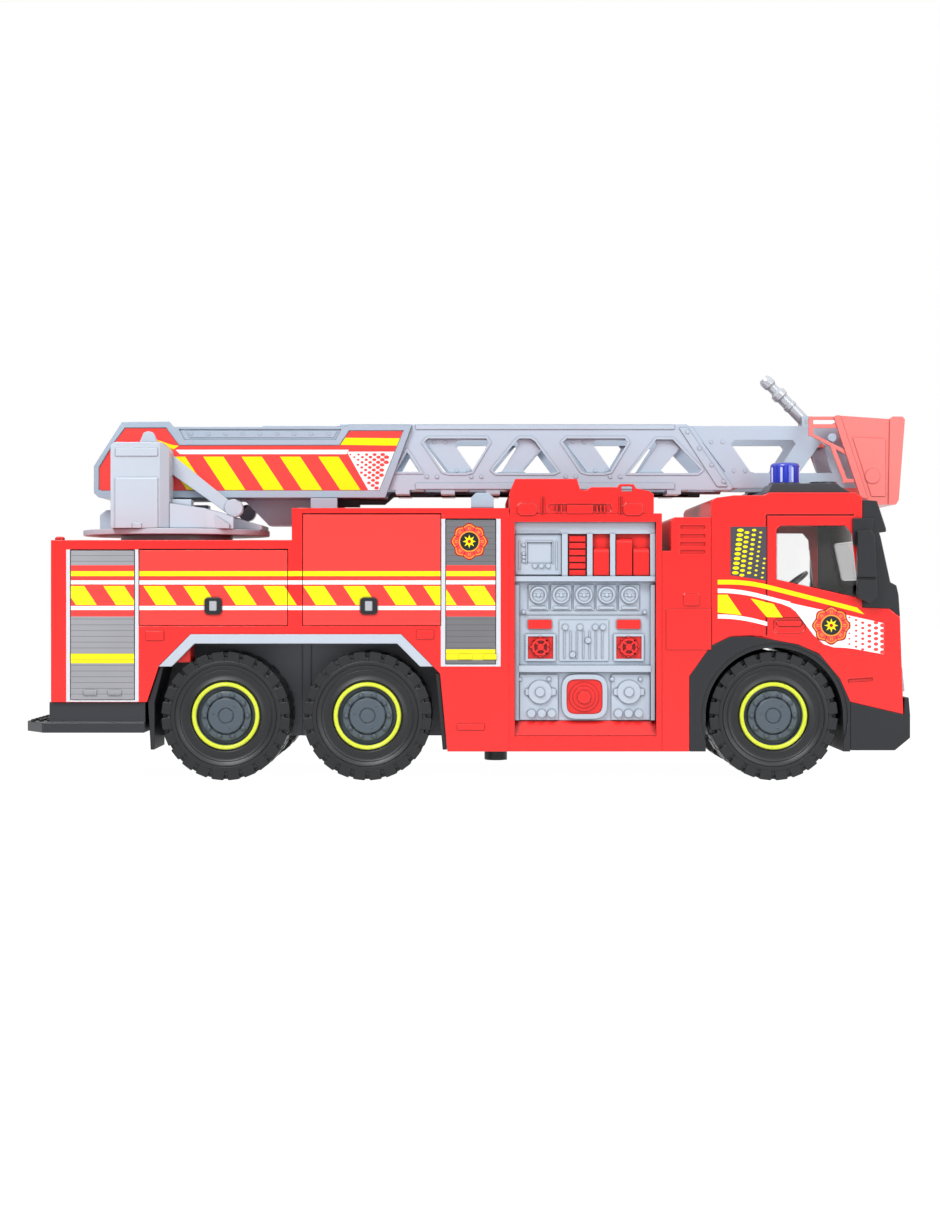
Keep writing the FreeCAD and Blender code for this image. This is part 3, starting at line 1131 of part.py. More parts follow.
rail_plate = prism("boom_rail_plate", "side",
                   [(boom_rear + 69, boom_high - 7.6), (boom_rear + 66.4, boom_high - 2.8),
                    (cell.boom_toe - 53.5, boom_high - 2.8), (cell.boom_toe - 56, boom_high - 7.6)],
                   -cell.boom_half + 0.4, -cell.boom_half + 1)
boom_right = fuse("boom_right", boom_side, trunnion, rail_plate, *rivets)
belly = prism("boom_belly", "side",
              rectangle(boom_rear + 3.5, cell.boom_heel, boom_low, boom_low + 2.4),
              -cell.boom_half + cell.boom_panel, cell.boom_half - cell.boom_panel)
belly_rear = boom_rear + 104.5
pad(belly, "side",
    [(belly_rear, boom_low), (belly_rear + 65.8, boom_low), (belly_rear + 60, boom_low - 6.1),
     (belly_rear + 38, boom_low - 6.1), (belly_rear + 38, boom_low - 19.4),
     (belly_rear + 19, boom_low - 19.4)],
    -cell.belly_half, cell.belly_half)
keep(fuse("boom", boom_right, mirrored("boom_left", boom_right), belly))

outer_face = -cell.boom_half + cell.boom_panel
outer_foot = cell.boom_heel - 32.5
LATTICE_PITCH = 100.0


def lattice(plate, first, last, low, high, face, thickness):
    """Windows with cut corners in a ladder's side plate, pointing down and up by turns.

    first is where the first window that points down starts at its upper edge.
    """
    down = [(3, 0), (45, 0), (47, -3), (34.5, -24), (30, -25.2), (18, -25.2), (14, -24), (0, -3)]
    up = [(66.5, -2), (69, 0), (77, 0), (80, -2), (96, -24), (93.5, -25.2), (52, -25.2), (49.5, -23)]
    index = 0
    while value_of(first) + LATTICE_PITCH * index < value_of(last):
        start = first + LATTICE_PITCH * index
        for window in (down, up):
            if value_of(start) + window[4][0] < value_of(last):
                pocket(plate, "side", [(start + along, high + drop * (value_of(high - low) / 25.2))
                                       for along, drop in window], face, face + thickness)
        index += 1
    return plate


def rungs(label, foot, tip, low, half):
    """Rungs across a ladder, from its foot to its tip."""
    count = int((value_of(tip) - value_of(foot)) // value_of(cell.rung_pitch))
    return [box(f"{label}_{index}", foot + cell.rung_pitch * index,
                foot + cell.rung_pitch * index + cell.rung_width,
                -half, half, low, low + cell.rung_height) for index in range(count)]


outer_plate = prism("outer_plate", "side",
                    [(outer_foot, outer_low), (outer_foot, outer_high), (cell.outer_tip - 33, outer_high),
                     (cell.outer_tip - 28.5, outer_high - 3), (cell.outer_tip, outer_low + 2),
                     (cell.outer_tip - 1, outer_low)], outer_face, outer_face + cell.ladder_wall)
lattice(outer_plate, cell.boom_heel + 27.8, cell.outer_tip - 45, outer_low + 12.1, outer_high - 10.3,
        outer_face, cell.ladder_wall)
pocket(outer_plate, "side", [(cell.boom_heel + 15.7, outer_low + 27.5),
                             (cell.boom_heel + 25.2, outer_low + 13.0),
                             (cell.boom_heel + 7.7, outer_low + 13.0)], outer_face,
       outer_face + cell.ladder_wall)
pocket(outer_plate, "side", [(cell.outer_tip - 55, outer_high - 11), (cell.outer_tip - 43, outer_high - 11),
                             (cell.outer_tip - 22.4, outer_low + 14.5),
                             (cell.outer_tip - 25, outer_low + 12.1),
                             (cell.outer_tip - 74, outer_low + 12.1)], outer_face,
       outer_face + cell.ladder_wall)
band = prism("outer_band", "side",
             [(cell.outer_tip - 38.5, outer_high - 2.6), (cell.outer_tip - 32.5, outer_high - 2.6),
              (cell.outer_tip - 4, outer_low + 2.4), (cell.outer_tip - 11, outer_low + 2.4)],
             outer_face - 0.8, outer_face)
rails = []
for row, low, high in (("top", outer_high - 3.6, outer_high - 0.6),
                       ("bottom", outer_low + 0.6, outer_low + 4.6)):
    rails.append(box(f"outer_rail_{row}", cell.boom_heel + 22, cell.outer_tip - 42, outer_face - 0.7,
                     outer_face, low, high))
band_rivets = [rod(f"band_rivet_{index}", "y", Size(1.2, "1.2"), outer_face - 1.4, outer_face,
                   cell.outer_tip - 32.6 + 8.7 * index,
                   outer_high - 5.6 - 11.9 * index) for index in range(4)]
gussets = []
for index in range(2):
    for row, along, level in (("low", 1.0, outer_low + 9.4), ("low_front", 33.0, outer_low + 9.4)):
        for step in (0, 7.3):
            gussets.append(rod(f"gusset_{row}_{index}_{int(step)}", "y", Size(1.1, "1.1"), outer_face - 0.7,
                               outer_face, cell.boom_heel + (29 + along + step + LATTICE_PITCH * index),
                               level))
outer_right = fuse("outer_plate_right", outer_plate, band, *rails, *band_rivets, *gussets)
outer_rungs = rungs("outer_rung", cell.boom_heel + 7.5, cell.outer_tip - 12, outer_low - cell.rung_height,
                    -outer_face)
keep(fuse("outer_ladder", outer_right, mirrored("outer_plate_left", outer_right), *outer_rungs))

hose_half = Size(3.2, "3.2")
hose = prism("hose_strip", "side",
             [(cell.boom_heel + 3, outer_low - 0.4), (cell.outer_tip - 20, outer_low - 0.4),
              (cell.outer_tip - 20, outer_low - cell.rung_height - 0.8),
              (cell.boom_heel + 5, outer_low - cell.rung_height - 0.8),
              (cell.boom_heel - 1.5, boom_low - 3.6), (cell.boom_heel - 20, boom_low - 3.6),
              (cell.boom_heel - 20, boom_low), (cell.boom_heel + 0.1, boom_low)],
             -hose_half, hose_half)
hose_grooves = rungs("hose_groove", cell.boom_heel + 7.5, cell.outer_tip - 12, outer_low - cell.rung_height,
                     -outer_face)
connector = box("hose_connector", cell.boom_heel - 38.6, cell.boom_heel - 20, -hose_half - 2, hose_half + 2,
                boom_low - 5.4, boom_low)
keep(cut("water_hose", fuse("hose_solid", hose, connector), *hose_grooves))

# ---------------------------------------------------------------- inner ladder

inner_face = outer_face + cell.ladder_wall + cell.slide_clearance
inner_plate = prism("inner_plate", "side",
                    [(cell.inner_rear, inner_low), (cell.inner_rear, inner_high),
                     (inner_tip - 17, inner_high),
                     (inner_tip - 12.8, inner_high - 3.4), (inner_tip, inner_low + 3),
                     (inner_tip - 2, inner_low)], inner_face, inner_face + cell.inner_wall)
inner_first = inner_tip - 92.3 - 3 * LATTICE_PITCH
lattice(inner_plate, inner_first, inner_tip - 45, inner_low + 10.8, inner_high - 10.1, inner_face,
        cell.inner_wall)
pocket(inner_plate, "side", [(inner_tip - 43, inner_low + 10.8),
                             (inner_tip - 26.5, inner_high - 11.5),
                             (inner_tip - 24, inner_high - 13.6),
                             (inner_tip - 20.6, inner_low + 16),
                             (inner_tip - 18.8, inner_low + 10.8)], inner_face,
       inner_face + cell.inner_wall)
inner_rivets = []
for index in range(4):
    for row, along, level in (("high", -14.4, inner_high - 11.6), ("low", 2.0, inner_low + 12.4)):
        for step in (0, 8.3):
            inner_rivets.append(rod(f"inner_rivet_{row}_{index}_{int(step)}", "y", Size(1.1, "1.1"),
                                    inner_face - 0.4, inner_face,
                                    inner_first + (along + step + LATTICE_PITCH * index), level))
inner_right = fuse("inner_plate_right", inner_plate, *inner_rivets)
inner_rungs = rungs("inner_rung", cell.inner_rear + 8, hinge_place - 16, inner_low, -inner_face)
bridge = box("nozzle_bridge", nozzle_place - 6, nozzle_place + 6, inner_face, -inner_face,
             inner_high - 4, inner_high)
ears = [box(f"nozzle_ear_{side_name}", nozzle_place - 4, nozzle_place + 4, low, low + 2.5,
            inner_high, nozzle_height + 4)
        for side_name, low in (("right", Size(-8.5, "-8.5")), ("left", Size(6.0, "6")))]
hinge_bore = rod("hinge_bore", "y", cell.hinge_radius + cell.running, inner_face - 1, -inner_face + 1,
                 hinge_place, hinge_height)
nozzle_bore = rod("nozzle_bore", "y", Size(2.05, "2.05"), Size(-9, "-9"), Size(9, "9"),
                  nozzle_place, nozzle_height)
inner_solid = fuse("inner_solid", inner_right, mirrored("inner_plate_left", inner_right), *inner_rungs,
                   bridge, *ears)
keep(cut("inner_ladder", inner_solid, hinge_bore, nozzle_bore))

# ---------------------------------------------------------------- basket

floor_low = basket_floor_height - 2.4
basket_outer = -cell.basket_half
basket_side = prism("basket_side", "side",
                    [(hinge_place + 18.2, basket_floor_height),
                     (hinge_place + 0.7, basket_rail_height + 1.4),
                     (basket_front - 10.6, basket_rail_height - 1.2),
                     (basket_front - 11, floor_low), (hinge_place + 22, floor_low)],
                    basket_outer, basket_outer + cell.basket_wall)
rear_bar = prism("basket_rear_bar", "side",
                 [(hinge_place + 17.2, floor_low + 5), (hinge_place - 1.8, basket_rail_height),
                  (hinge_place - 0.6, basket_rail_height + 1.4),
                  (hinge_place + 2.2, basket_rail_height + 1.4),
                  (hinge_place + 22, floor_low + 4)],
                 basket_outer - 1, basket_outer + cell.basket_wall)
front_post = prism("basket_front_post", "side",
                   [(basket_front - 11.6, floor_low),
                    (basket_front - 10.6, basket_rail_height - 1.2),
                    (basket_front - 8.6, basket_rail_height + 0.6),
                    (basket_front - 1.5, basket_rail_height + 0.4),
                    (basket_front, basket_rail_height - 1.6),
                    (basket_front - 4.4, basket_floor_height + 1),
                    (basket_front - 6.4, floor_low)],
                   basket_outer - 1, basket_outer + 5)
seams = prism("basket_panel", "side",
              [(hinge_place + 11.6, basket_rail_height - 14.4),
               (basket_front - 14, basket_rail_height - 15.6),
               (basket_front - 14, floor_low + 6), (hinge_place + 25, floor_low + 6)],
              basket_outer - 0.6, basket_outer)
lamp_disc = rod("basket_disc", "y", Size(5.1, "5.1"), basket_outer - 1.2, basket_outer,
                hinge_place + 25.6, hinge_height - 28.9)
cage_rear = hinge_place - 19.6
cage = [prism("cage_top", "side", rectangle(cage_rear, hinge_place, basket_rail_height - 1.6,
                                            basket_rail_height + 0.6), basket_outer, basket_outer + 3),
        prism("cage_rail", "side", rectangle(cage_rear + 1, hinge_place + 3, basket_rail_height - 7.6,
                                             basket_rail_height - 4.8), basket_outer, basket_outer + 3),
        prism("cage_post", "side", rectangle(cage_rear, cage_rear + 3, hinge_height,
                                             basket_rail_height + 0.6),
              basket_outer, basket_outer + 3),
        prism("cage_brace", "side", [(cage_rear, hinge_height + 1), (cage_rear + 3, hinge_height + 1.4),
                                     (hinge_place + 8.6, hinge_height - 11),
                                     (hinge_place + 8, hinge_height - 14)],
              basket_outer, basket_outer + 3),
        prism("cage_leg", "side", [(hinge_place - 4.4, hinge_height - 7),
                                   (hinge_place - 1.2, hinge_height - 8),
                                   (hinge_place + 7.6, hinge_height - 31),
                                   (hinge_place + 4.4, hinge_height - 31)],
              basket_outer, basket_outer + 3),
        prism("cage_foot", "side", rectangle(hinge_place + 4.4, hinge_place + 15,
                                             hinge_height - 33.4,
                                             hinge_height - 30.8), basket_outer, basket_outer + 3)]
basket_right = fuse("basket_right", basket_side, rear_bar, front_post, seams, lamp_disc, *cage)
basket_tray = prism("basket_tray", "side",
                    [(hinge_place + 22, floor_low), (hinge_place + 19, basket_floor_height),
                     (basket_front - 8.4, basket_floor_height),
                     (basket_front - 3, basket_rail_height - 1.6),
                     (basket_front - 0.4, basket_rail_height - 1.6),
                     (basket_front - 4.6, basket_floor_height + 1),
                     (basket_front - 6.4, floor_low)],
                    basket_outer + 1, -basket_outer - 1)
crossbar = rod("basket_crossbar", "y", Size(2.4, "2.4"), basket_outer + 1, -basket_outer - 1,
               hinge_place + 6, hinge_height + 10.4)
basket_lugs = []
for side_name, low in (("right", inner_face + cell.inner_wall + 1.2),
                       ("left", -inner_face - cell.inner_wall - 5.2)):
    basket_lugs.append(prism(f"basket_lug_{side_name}", "side",
                             [(hinge_place - 3.5, hinge_height - 3.5),
                              (hinge_place + 3.5, hinge_height - 3.5),
                              (hinge_place + 8, hinge_height + 10),
                              (hinge_place + 4, hinge_height + 12),
                              (hinge_place - 3.5, hinge_height + 3)], low, low + 4))
pins = [rod(f"basket_pin_{side_name}", "y", cell.hinge_radius, low, high, hinge_place, hinge_height)
        for side_name, low, high in (
            ("right", inner_face, inner_face + cell.inner_wall + 2),
            ("left", -inner_face - cell.inner_wall - 2, -inner_face))]
keep(fuse("basket", basket_right, mirrored("basket_left", basket_right), basket_tray, crossbar, *basket_lugs,
          *pins))

# ---------------------------------------------------------------- nozzle

lay_back = math.radians(133.8)
barrel = turned("nozzle_barrel",
                [(0, 0), (4.4, 0), (4.4, 15), (5.0, 15.6), (5.0, 18), (4.4, 18.6), (4.4, 25), (5.7, 26),
                 (5.7, 30), (4.6, 31), (3.7, 32), (3.7, 36.4), (4.85, 38), (4.85, cell.nozzle_length - 2.4),
                 (3.6, cell.nozzle_length), (2.2, cell.nozzle_length), (2.2, cell.nozzle_length - 6),
                 (0, cell.nozzle_length - 6)],
                (math.cos(lay_back), 0, math.sin(lay_back)), nozzle_place, zero, nozzle_height)
spindle = rod("nozzle_spindle", "y", Size(2.0, "2"), Size(-8.5, "-8.5"), Size(8.5, "8.5"),
              nozzle_place, nozzle_height)
knuckle = rod("nozzle_knuckle", "y", Size(4.4, "4.4"), Size(-5.7, "-5.7"), Size(5.7, "5.7"),
              nozzle_place, nozzle_height)
keep(fuse("nozzle", barrel, spindle, knuckle))

# ---------------------------------------------------------------- checks and files

document.recompute()
for item in document.Objects:
    if "Invalid" in item.State or "Error" in item.State:
        raise RuntimeError(f"{item.Name} ({item.Label}) failed: {item.State}")
for piece in parts:
    if piece.Shape.isNull() or not piece.Shape.isValid() or piece.Shape.Volume <= 0:
        raise RuntimeError(f"{piece.Label} has no valid solid")

os.makedirs("parts", exist_ok=True)
for piece in parts:
    piece.Shape.exportStep(f"parts/{piece.Label}.step")
    print(f"{piece.Label:24s} {len(piece.Shape.Solids):3d} solids {piece.Shape.Volume / 1000:9.2f} cm3")
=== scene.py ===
"""Toy ladder fire engine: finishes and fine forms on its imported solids.

Metres, +X to the front, +Z up, the right-hand side towards -Y. The sections follow the toy as it
is put together, from the chassis to the nozzle, and the studio comes last.
"""
import json
import math

import bmesh
import bpy
from mathutils import Matrix, Vector

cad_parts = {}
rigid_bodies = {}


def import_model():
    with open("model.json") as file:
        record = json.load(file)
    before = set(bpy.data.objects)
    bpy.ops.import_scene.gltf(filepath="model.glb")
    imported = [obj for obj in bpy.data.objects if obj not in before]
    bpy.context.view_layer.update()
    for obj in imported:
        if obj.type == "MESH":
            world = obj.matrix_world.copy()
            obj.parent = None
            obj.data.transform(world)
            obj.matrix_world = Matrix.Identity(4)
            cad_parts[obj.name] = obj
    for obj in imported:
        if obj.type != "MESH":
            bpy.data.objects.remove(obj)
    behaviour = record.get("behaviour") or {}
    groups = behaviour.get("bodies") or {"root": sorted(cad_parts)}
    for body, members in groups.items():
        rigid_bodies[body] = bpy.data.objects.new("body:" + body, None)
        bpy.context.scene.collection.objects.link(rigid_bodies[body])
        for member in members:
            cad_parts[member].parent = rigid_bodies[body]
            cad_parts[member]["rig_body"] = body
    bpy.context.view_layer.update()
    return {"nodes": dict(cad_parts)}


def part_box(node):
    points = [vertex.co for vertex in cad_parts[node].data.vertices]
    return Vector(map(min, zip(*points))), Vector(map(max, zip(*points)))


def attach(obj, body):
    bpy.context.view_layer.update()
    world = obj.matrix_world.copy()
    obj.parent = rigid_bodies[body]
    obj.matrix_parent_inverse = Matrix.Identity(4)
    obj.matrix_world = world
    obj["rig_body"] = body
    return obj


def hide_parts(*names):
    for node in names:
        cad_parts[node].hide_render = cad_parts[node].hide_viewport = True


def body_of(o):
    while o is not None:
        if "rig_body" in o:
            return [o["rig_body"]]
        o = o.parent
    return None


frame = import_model()
nodes = frame["nodes"]
MM = 0.001

# ---------------------------------------------------------------- chassis and rear step
# The chassis beam and the round boss under it are black ABS, moulded with a fine spark-eroded
# grain that dulls the gloss. The rear step is a little lighter, and its tread has rows of small
# raised pips.


def linear(code):
    """Linear colour from an sRGB hex value."""
    channels = [int(code[i:i + 2], 16) / 255 for i in (1, 3, 5)]
    return [c / 12.92 if c <= 0.04045 else ((c + 0.055) / 1.055) ** 2.4 for c in channels] + [1.0]


def add(tree, kind, inputs=None, **settings):
    """A node with its settings, its inputs given as values or as sockets to link."""
    item = tree.nodes.new(kind)
    for name, value in settings.items():
        setattr(item, name, value)
    for name, value in (inputs or {}).items():
        if isinstance(value, bpy.types.NodeSocket):
            tree.links.new(value, item.inputs[name])
        else:
            item.inputs[name].default_value = value
    return item


def calc(tree, operation, *values):
    """The socket of a sum done on sockets or numbers."""
    return add(tree, "ShaderNodeMath", dict(enumerate(values)), operation=operation).outputs[0]


def ranged(tree, value, low, high, from_low=0.0, from_high=1.0):
    """The socket of a value moved from one range on to another, and held between its ends."""
    return add(tree, "ShaderNodeMapRange", {
        "Value": value, "From Min": from_low, "From Max": from_high, "To Min": low,
        "To Max": high}).outputs["Result"]


# a Mix node's colour sockets come after those for numbers and vectors
MIX_FACTOR, MIX_LOW, MIX_HIGH, MIX_RESULT = 0, 6, 7, 2


def cleared_tree(owner):
    """The node tree of a material or a world, emptied."""
    owner.use_nodes = True
    owner.node_tree.nodes.clear()
    return owner.node_tree


def blend_colours(tree, factor, low, high):
    """The socket of a colour mixed from two."""
    item = add(tree, "ShaderNodeMix", {MIX_FACTOR: factor, MIX_LOW: low, MIX_HIGH: high}, data_type="RGBA")
    return item.outputs[MIX_RESULT]


# how far the painted shade in deep corners and creases reaches, in millimetres: in fine reliefs and on red
# pieces
PAINTED_SHADE_REACH, PAINTED_SHADE_REACH_RED = 1.6, 4.5


def painted_shade_and_highlight(tree, colour, rounded, reach):
    """A colour with painted shade in deep corners and a painted highlight on rounded edges."""
    open_share = add(tree, "ShaderNodeAmbientOcclusion", {"Distance": reach * MM}, samples=4).outputs["AO"]
    deep = ranged(tree, open_share, 0.3, 1.0, from_low=0.4, from_high=0.95)
    flat = add(tree, "ShaderNodeNewGeometry").outputs["True Normal"]
    turned_by = add(tree, "ShaderNodeVectorMath", {0: rounded, 1: flat}, operation="DOT_PRODUCT")
    edge_painted_highlight = ranged(tree, turned_by.outputs["Value"], 1.35, 1.0, from_low=0.8, from_high=0.995)
    painted_light_factor = calc(tree, "MULTIPLY", deep, edge_painted_highlight)
    return add(tree, "ShaderNodeVectorMath", {0: colour, "Scale": painted_light_factor}, operation="SCALE").outputs[0]


def moulded(name, code, roughness, grain=0.5, relief=0.03, edge=0.5, print_on=None, shade=0.9, painted_shade_reach=PAINTED_SHADE_REACH,
            **shader):
    """A moulded plastic: one colour with faint flow clouds, grain in its gloss and soft edges.

    Painted shade darkens corners that lie deep and a painted highlight lightens rounded edges.
    grain and edge are millimetres, and so is the reach of the painted shade, where 0 leaves the
    painted shade and highlight out. print_on(tree, place, colour) lays inks over the colour.
    """
    material = bpy.data.materials.new(name)
    tree = cleared_tree(material)
    place = add(tree, "ShaderNodeTexCoord").outputs["Object"]
    cloud = add(tree, "ShaderNodeTexNoise", {"Vector": place, "Scale": 1 / (60 * MM), "Detail": 2.0})
    full = linear(code)
    dull = [channel * shade for channel in full[:3]] + [1.0]
    colour = blend_colours(tree, cloud.outputs["Fac"], dull, full)
    if print_on:
        colour = print_on(tree, place, colour)
    fine = add(tree, "ShaderNodeTexNoise", {"Vector": place, "Scale": 1 / (grain * MM), "Detail": 1.0})
    gloss = ranged(tree, fine.outputs["Fac"], roughness * 0.85, roughness * 1.15)
    rounded = add(tree, "ShaderNodeBevel", {"Radius": edge * MM}, samples=4)
    bump = add(tree, "ShaderNodeBump", {"Height": fine.outputs["Fac"], "Strength": relief,
                                        "Distance": 0.2 * MM, "Normal": rounded.outputs["Normal"]})
    # painted shade in deep corners and a painted highlight on rounded edges, put into the base colour
    if painted_shade_reach:
        colour = painted_shade_and_highlight(tree, colour, rounded.outputs["Normal"], painted_shade_reach)
    surface = add(tree, "ShaderNodeBsdfPrincipled", {
        "Base Color": colour, "Roughness": gloss, "Normal": bump.outputs["Normal"], "IOR": 1.5,
        **shader})
    add(tree, "ShaderNodeOutputMaterial", {"Surface": surface.outputs["BSDF"]})
    return material


def in_scene(name, data):
    """A new object in the scene, made of a mesh, a lamp's data or a camera's."""
    item = bpy.data.objects.new(name, data)
    bpy.context.scene.collection.objects.link(item)
    return item


def settle(name, mesh, node, *materials):
    """A finished mesh as a piece that moves with a CAD node's body, with the given materials."""
    for material in materials:
        mesh.materials.append(material)
    piece = in_scene(name, mesh)
    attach(piece, body_of(nodes[node])[0])
    return piece


def finished_mesh(rough):
    """The plain mesh of an object with its modifiers applied; the object itself goes."""
    made = bpy.data.meshes.new_from_object(rough.evaluated_get(bpy.context.evaluated_depsgraph_get()))
    bpy.data.objects.remove(rough)
    return made


def bare(name):
    """A copy of a CAD node's mesh without its material and its stored normals."""
    mesh = nodes[name].data.copy()
    mesh.materials.clear()
    for attribute in [item for item in mesh.attributes if item.name == "custom_normal"]:
        mesh.attributes.remove(attribute)
    return mesh


def soften(name, width, *materials):
    """A CAD node's mesh with its sharp edges rounded by width millimetres, in the node's place."""
    mesh = bare(name)
    low = [min(vertex.co[i] for vertex in mesh.vertices) for i in range(3)]
    high = [max(vertex.co[i] for vertex in mesh.vertices) for i in range(3)]
    work = bmesh.new()
    work.from_mesh(mesh)
    bmesh.ops.remove_doubles(work, verts=work.verts, dist=0.01 * MM)
    bmesh.ops.join_triangles(work, faces=work.faces, angle_face_threshold=math.radians(0.5),
                             angle_shape_threshold=math.pi)
    for face in work.faces:
        face.smooth = True
    work.to_mesh(mesh)
    work.free()
    rough = in_scene(name + "_edges", mesh)
    bevel = rough.modifiers.new("edges", "BEVEL")
    bevel.width = width * MM
    bevel.segments = 2
    bevel.angle_limit = math.radians(28)
    bevel.use_clamp_overlap = False
    bevel.harden_normals = True
    made = finished_mesh(rough)
    for vertex in made.vertices:
        vertex.co = [min(max(place, least), most) for place, least, most in zip(vertex.co, low, high)]
    piece = settle(name + "_moulding", made, name, *materials)
    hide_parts(name)
    return piece


def carved(outline, near, far, edge=0.0):
    """A plate with a closed outline (x, z), from y near to y far, its edges rounded; millimetres."""
    form = bmesh.new()
    face = form.faces.new([form.verts.new((x * MM, near * MM, z * MM)) for x, z in outline])
    grown = bmesh.ops.extrude_face_region(form, geom=[face])["geom"]
    moved = [item for item in grown if isinstance(item, bmesh.types.BMVert)]
    bmesh.ops.translate(form, verts=moved, vec=(0, (far - near) * MM, 0))
    if edge:
        bmesh.ops.bevel(form, geom=form.edges[:], offset=edge * MM, segments=2, affect="EDGES",
                        clamp_overlap=True)
    bmesh.ops.recalc_face_normals(form, faces=form.faces)
    return form


def cast(name, *forms, mirror=False, sharp=35):
    """One mesh from several forms, with their mirror images on the left side if asked."""
    mesh = bpy.data.meshes.new(name)
    whole = bmesh.new()
    for form in forms:
        part = form
        if isinstance(form, bmesh.types.BMesh):
            part = bpy.data.meshes.new("part")
            form.to_mesh(part)
            form.free()
        whole.from_mesh(part)
    if mirror:
        grown = bmesh.ops.duplicate(whole, geom=whole.verts[:] + whole.edges[:] + whole.faces[:])["geom"]
        for item in grown:
            if isinstance(item, bmesh.types.BMVert):
                item.co.y = -item.co.y
        turned_faces = [item for item in grown if isinstance(item, bmesh.types.BMFace)]
        bmesh.ops.reverse_faces(whole, faces=turned_faces)
    for face in whole.faces:
        face.smooth = True
    whole.to_mesh(mesh)
    whole.free()
    mesh.set_sharp_from_angle(angle=math.radians(sharp))
    return mesh


def copies_tree(name, turning):
    """A node tree that repeats a form: in a row, or turned about an axle that lies along Y."""
    tree = bpy.data.node_groups.new(name, "GeometryNodeTree")
    sockets = [("Form", "NodeSocketGeometry"), ("Count", "NodeSocketInt"),
               ("Material", "NodeSocketMaterial")]
    if turning:
        sockets += [("Centre", "NodeSocketVector"), ("Phase", "NodeSocketFloat")]
    else:
        sockets += [("Step", "NodeSocketVector")]
    for label, kind in sockets:
        tree.interface.new_socket(label, in_out="INPUT", socket_type=kind)
    tree.interface.new_socket("Form", in_out="OUTPUT", socket_type="NodeSocketGeometry")
    given = add(tree, "NodeGroupInput").outputs
    if turning:
        points = add(tree, "GeometryNodePoints", {"Count": given["Count"], "Position": given["Centre"]})
        share = calc(tree, "DIVIDE", math.tau, given["Count"])
        index = add(tree, "GeometryNodeInputIndex").outputs[0]
        angle = calc(tree, "MULTIPLY_ADD", index, share, given["Phase"])
        turn = add(tree, "FunctionNodeAxisAngleToRotation", {"Axis": (0, 1, 0), "Angle": angle})
        placed = add(tree, "GeometryNodeInstanceOnPoints", {
            "Points": points.outputs[0], "Instance": given["Form"], "Rotation": turn.outputs[0]})
    else:
        points = add(tree, "GeometryNodeMeshLine", {"Count": given["Count"], "Offset": given["Step"]})
        placed = add(tree, "GeometryNodeInstanceOnPoints", {
            "Points": points.outputs[0], "Instance": given["Form"]})
    real = add(tree, "GeometryNodeRealizeInstances", {"Geometry": placed.outputs[0]})
    painted = add(tree, "GeometryNodeSetMaterial", {"Geometry": real.outputs[0],
                                                    "Material": given["Material"]})
    add(tree, "NodeGroupOutput", {"Form": painted.outputs[0]})
    return tree


def repeated(tree, form, material, count, **sizes):
    """A form repeated by a tree, as a plain mesh; the tree's other inputs are set by their names."""
    rough = in_scene("repeated", cast("form", form))
    modifier = rough.modifiers.new("copies", "NODES")
    modifier.node_group = tree
    keys = {item.name: item.identifier for item in tree.interface.items_tree if item.in_out == "INPUT"}
    for label, value in {"Count": count, "Material": material, **sizes}.items():
        modifier[keys[label]] = value
    return finished_mesh(rough)


def square(x, z, reach, cut=0.25):
    """The outline of a square with cut corners round a place."""
    short = reach * (1 - cut)
    return [(x - short, z - reach), (x + short, z - reach), (x + reach, z - short), (x + reach, z + short),
            (x + short, z + reach), (x - short, z + reach), (x - reach, z + short), (x - reach, z - short)]


in_a_row = copies_tree("in_a_row", False)
# black ABS from a grained mould: the grain breaks the gloss up into a soft sheen
black_abs = moulded("black_abs", "#1d1f24", 0.32, grain=0.6, relief=0.08)
soften("chassis", 0.6, black_abs)
soften("rear_step", 0.6, moulded("dark_grey_abs_step", "#2c2e34", 0.32, grain=0.6, relief=0.08))
step_rear = (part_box("rear_step")[0] / MM).x
PIP_HEIGHT, PIP_REACH, PIPS_IN_ROW, PIP_STEP = 41.0, 1.1, 14, 5.6
tread_rows = []
for y in range(-76, 77, 12):
    pip = carved(square(step_rear + 5, PIP_HEIGHT, PIP_REACH), y, y + 6, 0.4)
    tread_rows.append(repeated(in_a_row, pip, black_abs, PIPS_IN_ROW, Step=(PIP_STEP * MM, 0, 0)))
settle("rear_step_tread", cast("rear_step_tread", *tread_rows), "rear_step", black_abs)

# ---------------------------------------------------------------- locker body
# The body's two sides, its deck and its tail are gloss red ABS. Printed foil runs along the
# sides: a yellow and a white line, a band of yellow chevrons and another white line. Small
# raised blocks beside the doors and a knob on each corner of the deck are moulded on.

RED = "#f02927"
YELLOW = linear("#fff000")
WHITE = linear("#fbfbfd")
FOIL_RED = linear("#f5403c")
STRIPES = ((142.0, 145.4, YELLOW), (136.2, 139.0, WHITE), (118.5, 121.3, WHITE))
CHEVRON_LOW, CHEVRON_HIGH = 122.0, 135.1
CHEVRON_PITCH, CHEVRON_WIDTH, CHEVRON_LEAN = 27.7, 14.5, 0.664
CHEVRON_START = -198.6
FRAME_GREY = linear("#d3d6dd")
SIDE_FRAMES = (  # the frames printed round the shutters: rear, front, low, high
    (-279.7, -276.2, 55.6, 160.4), (-233.1, -229.6, 55.6, 160.4), (-279.7, -229.6, 54.9, 57.2),
    (-20.2, -16.4, 79.9, 181.6), (17.4, 21.2, 79.9, 181.6), (-20.2, 21.2, 79.4, 81.4))


def within(tree, value, low, high):
    """1 where a value, a length, lies between two bounds in millimetres."""
    return calc(tree, "COMPARE", value, (low + high) / 2 * MM, (high - low) / 2 * MM)


def both(tree, first, second):
    """1 where two masks are both 1."""
    return calc(tree, "MULTIPLY", first, second)


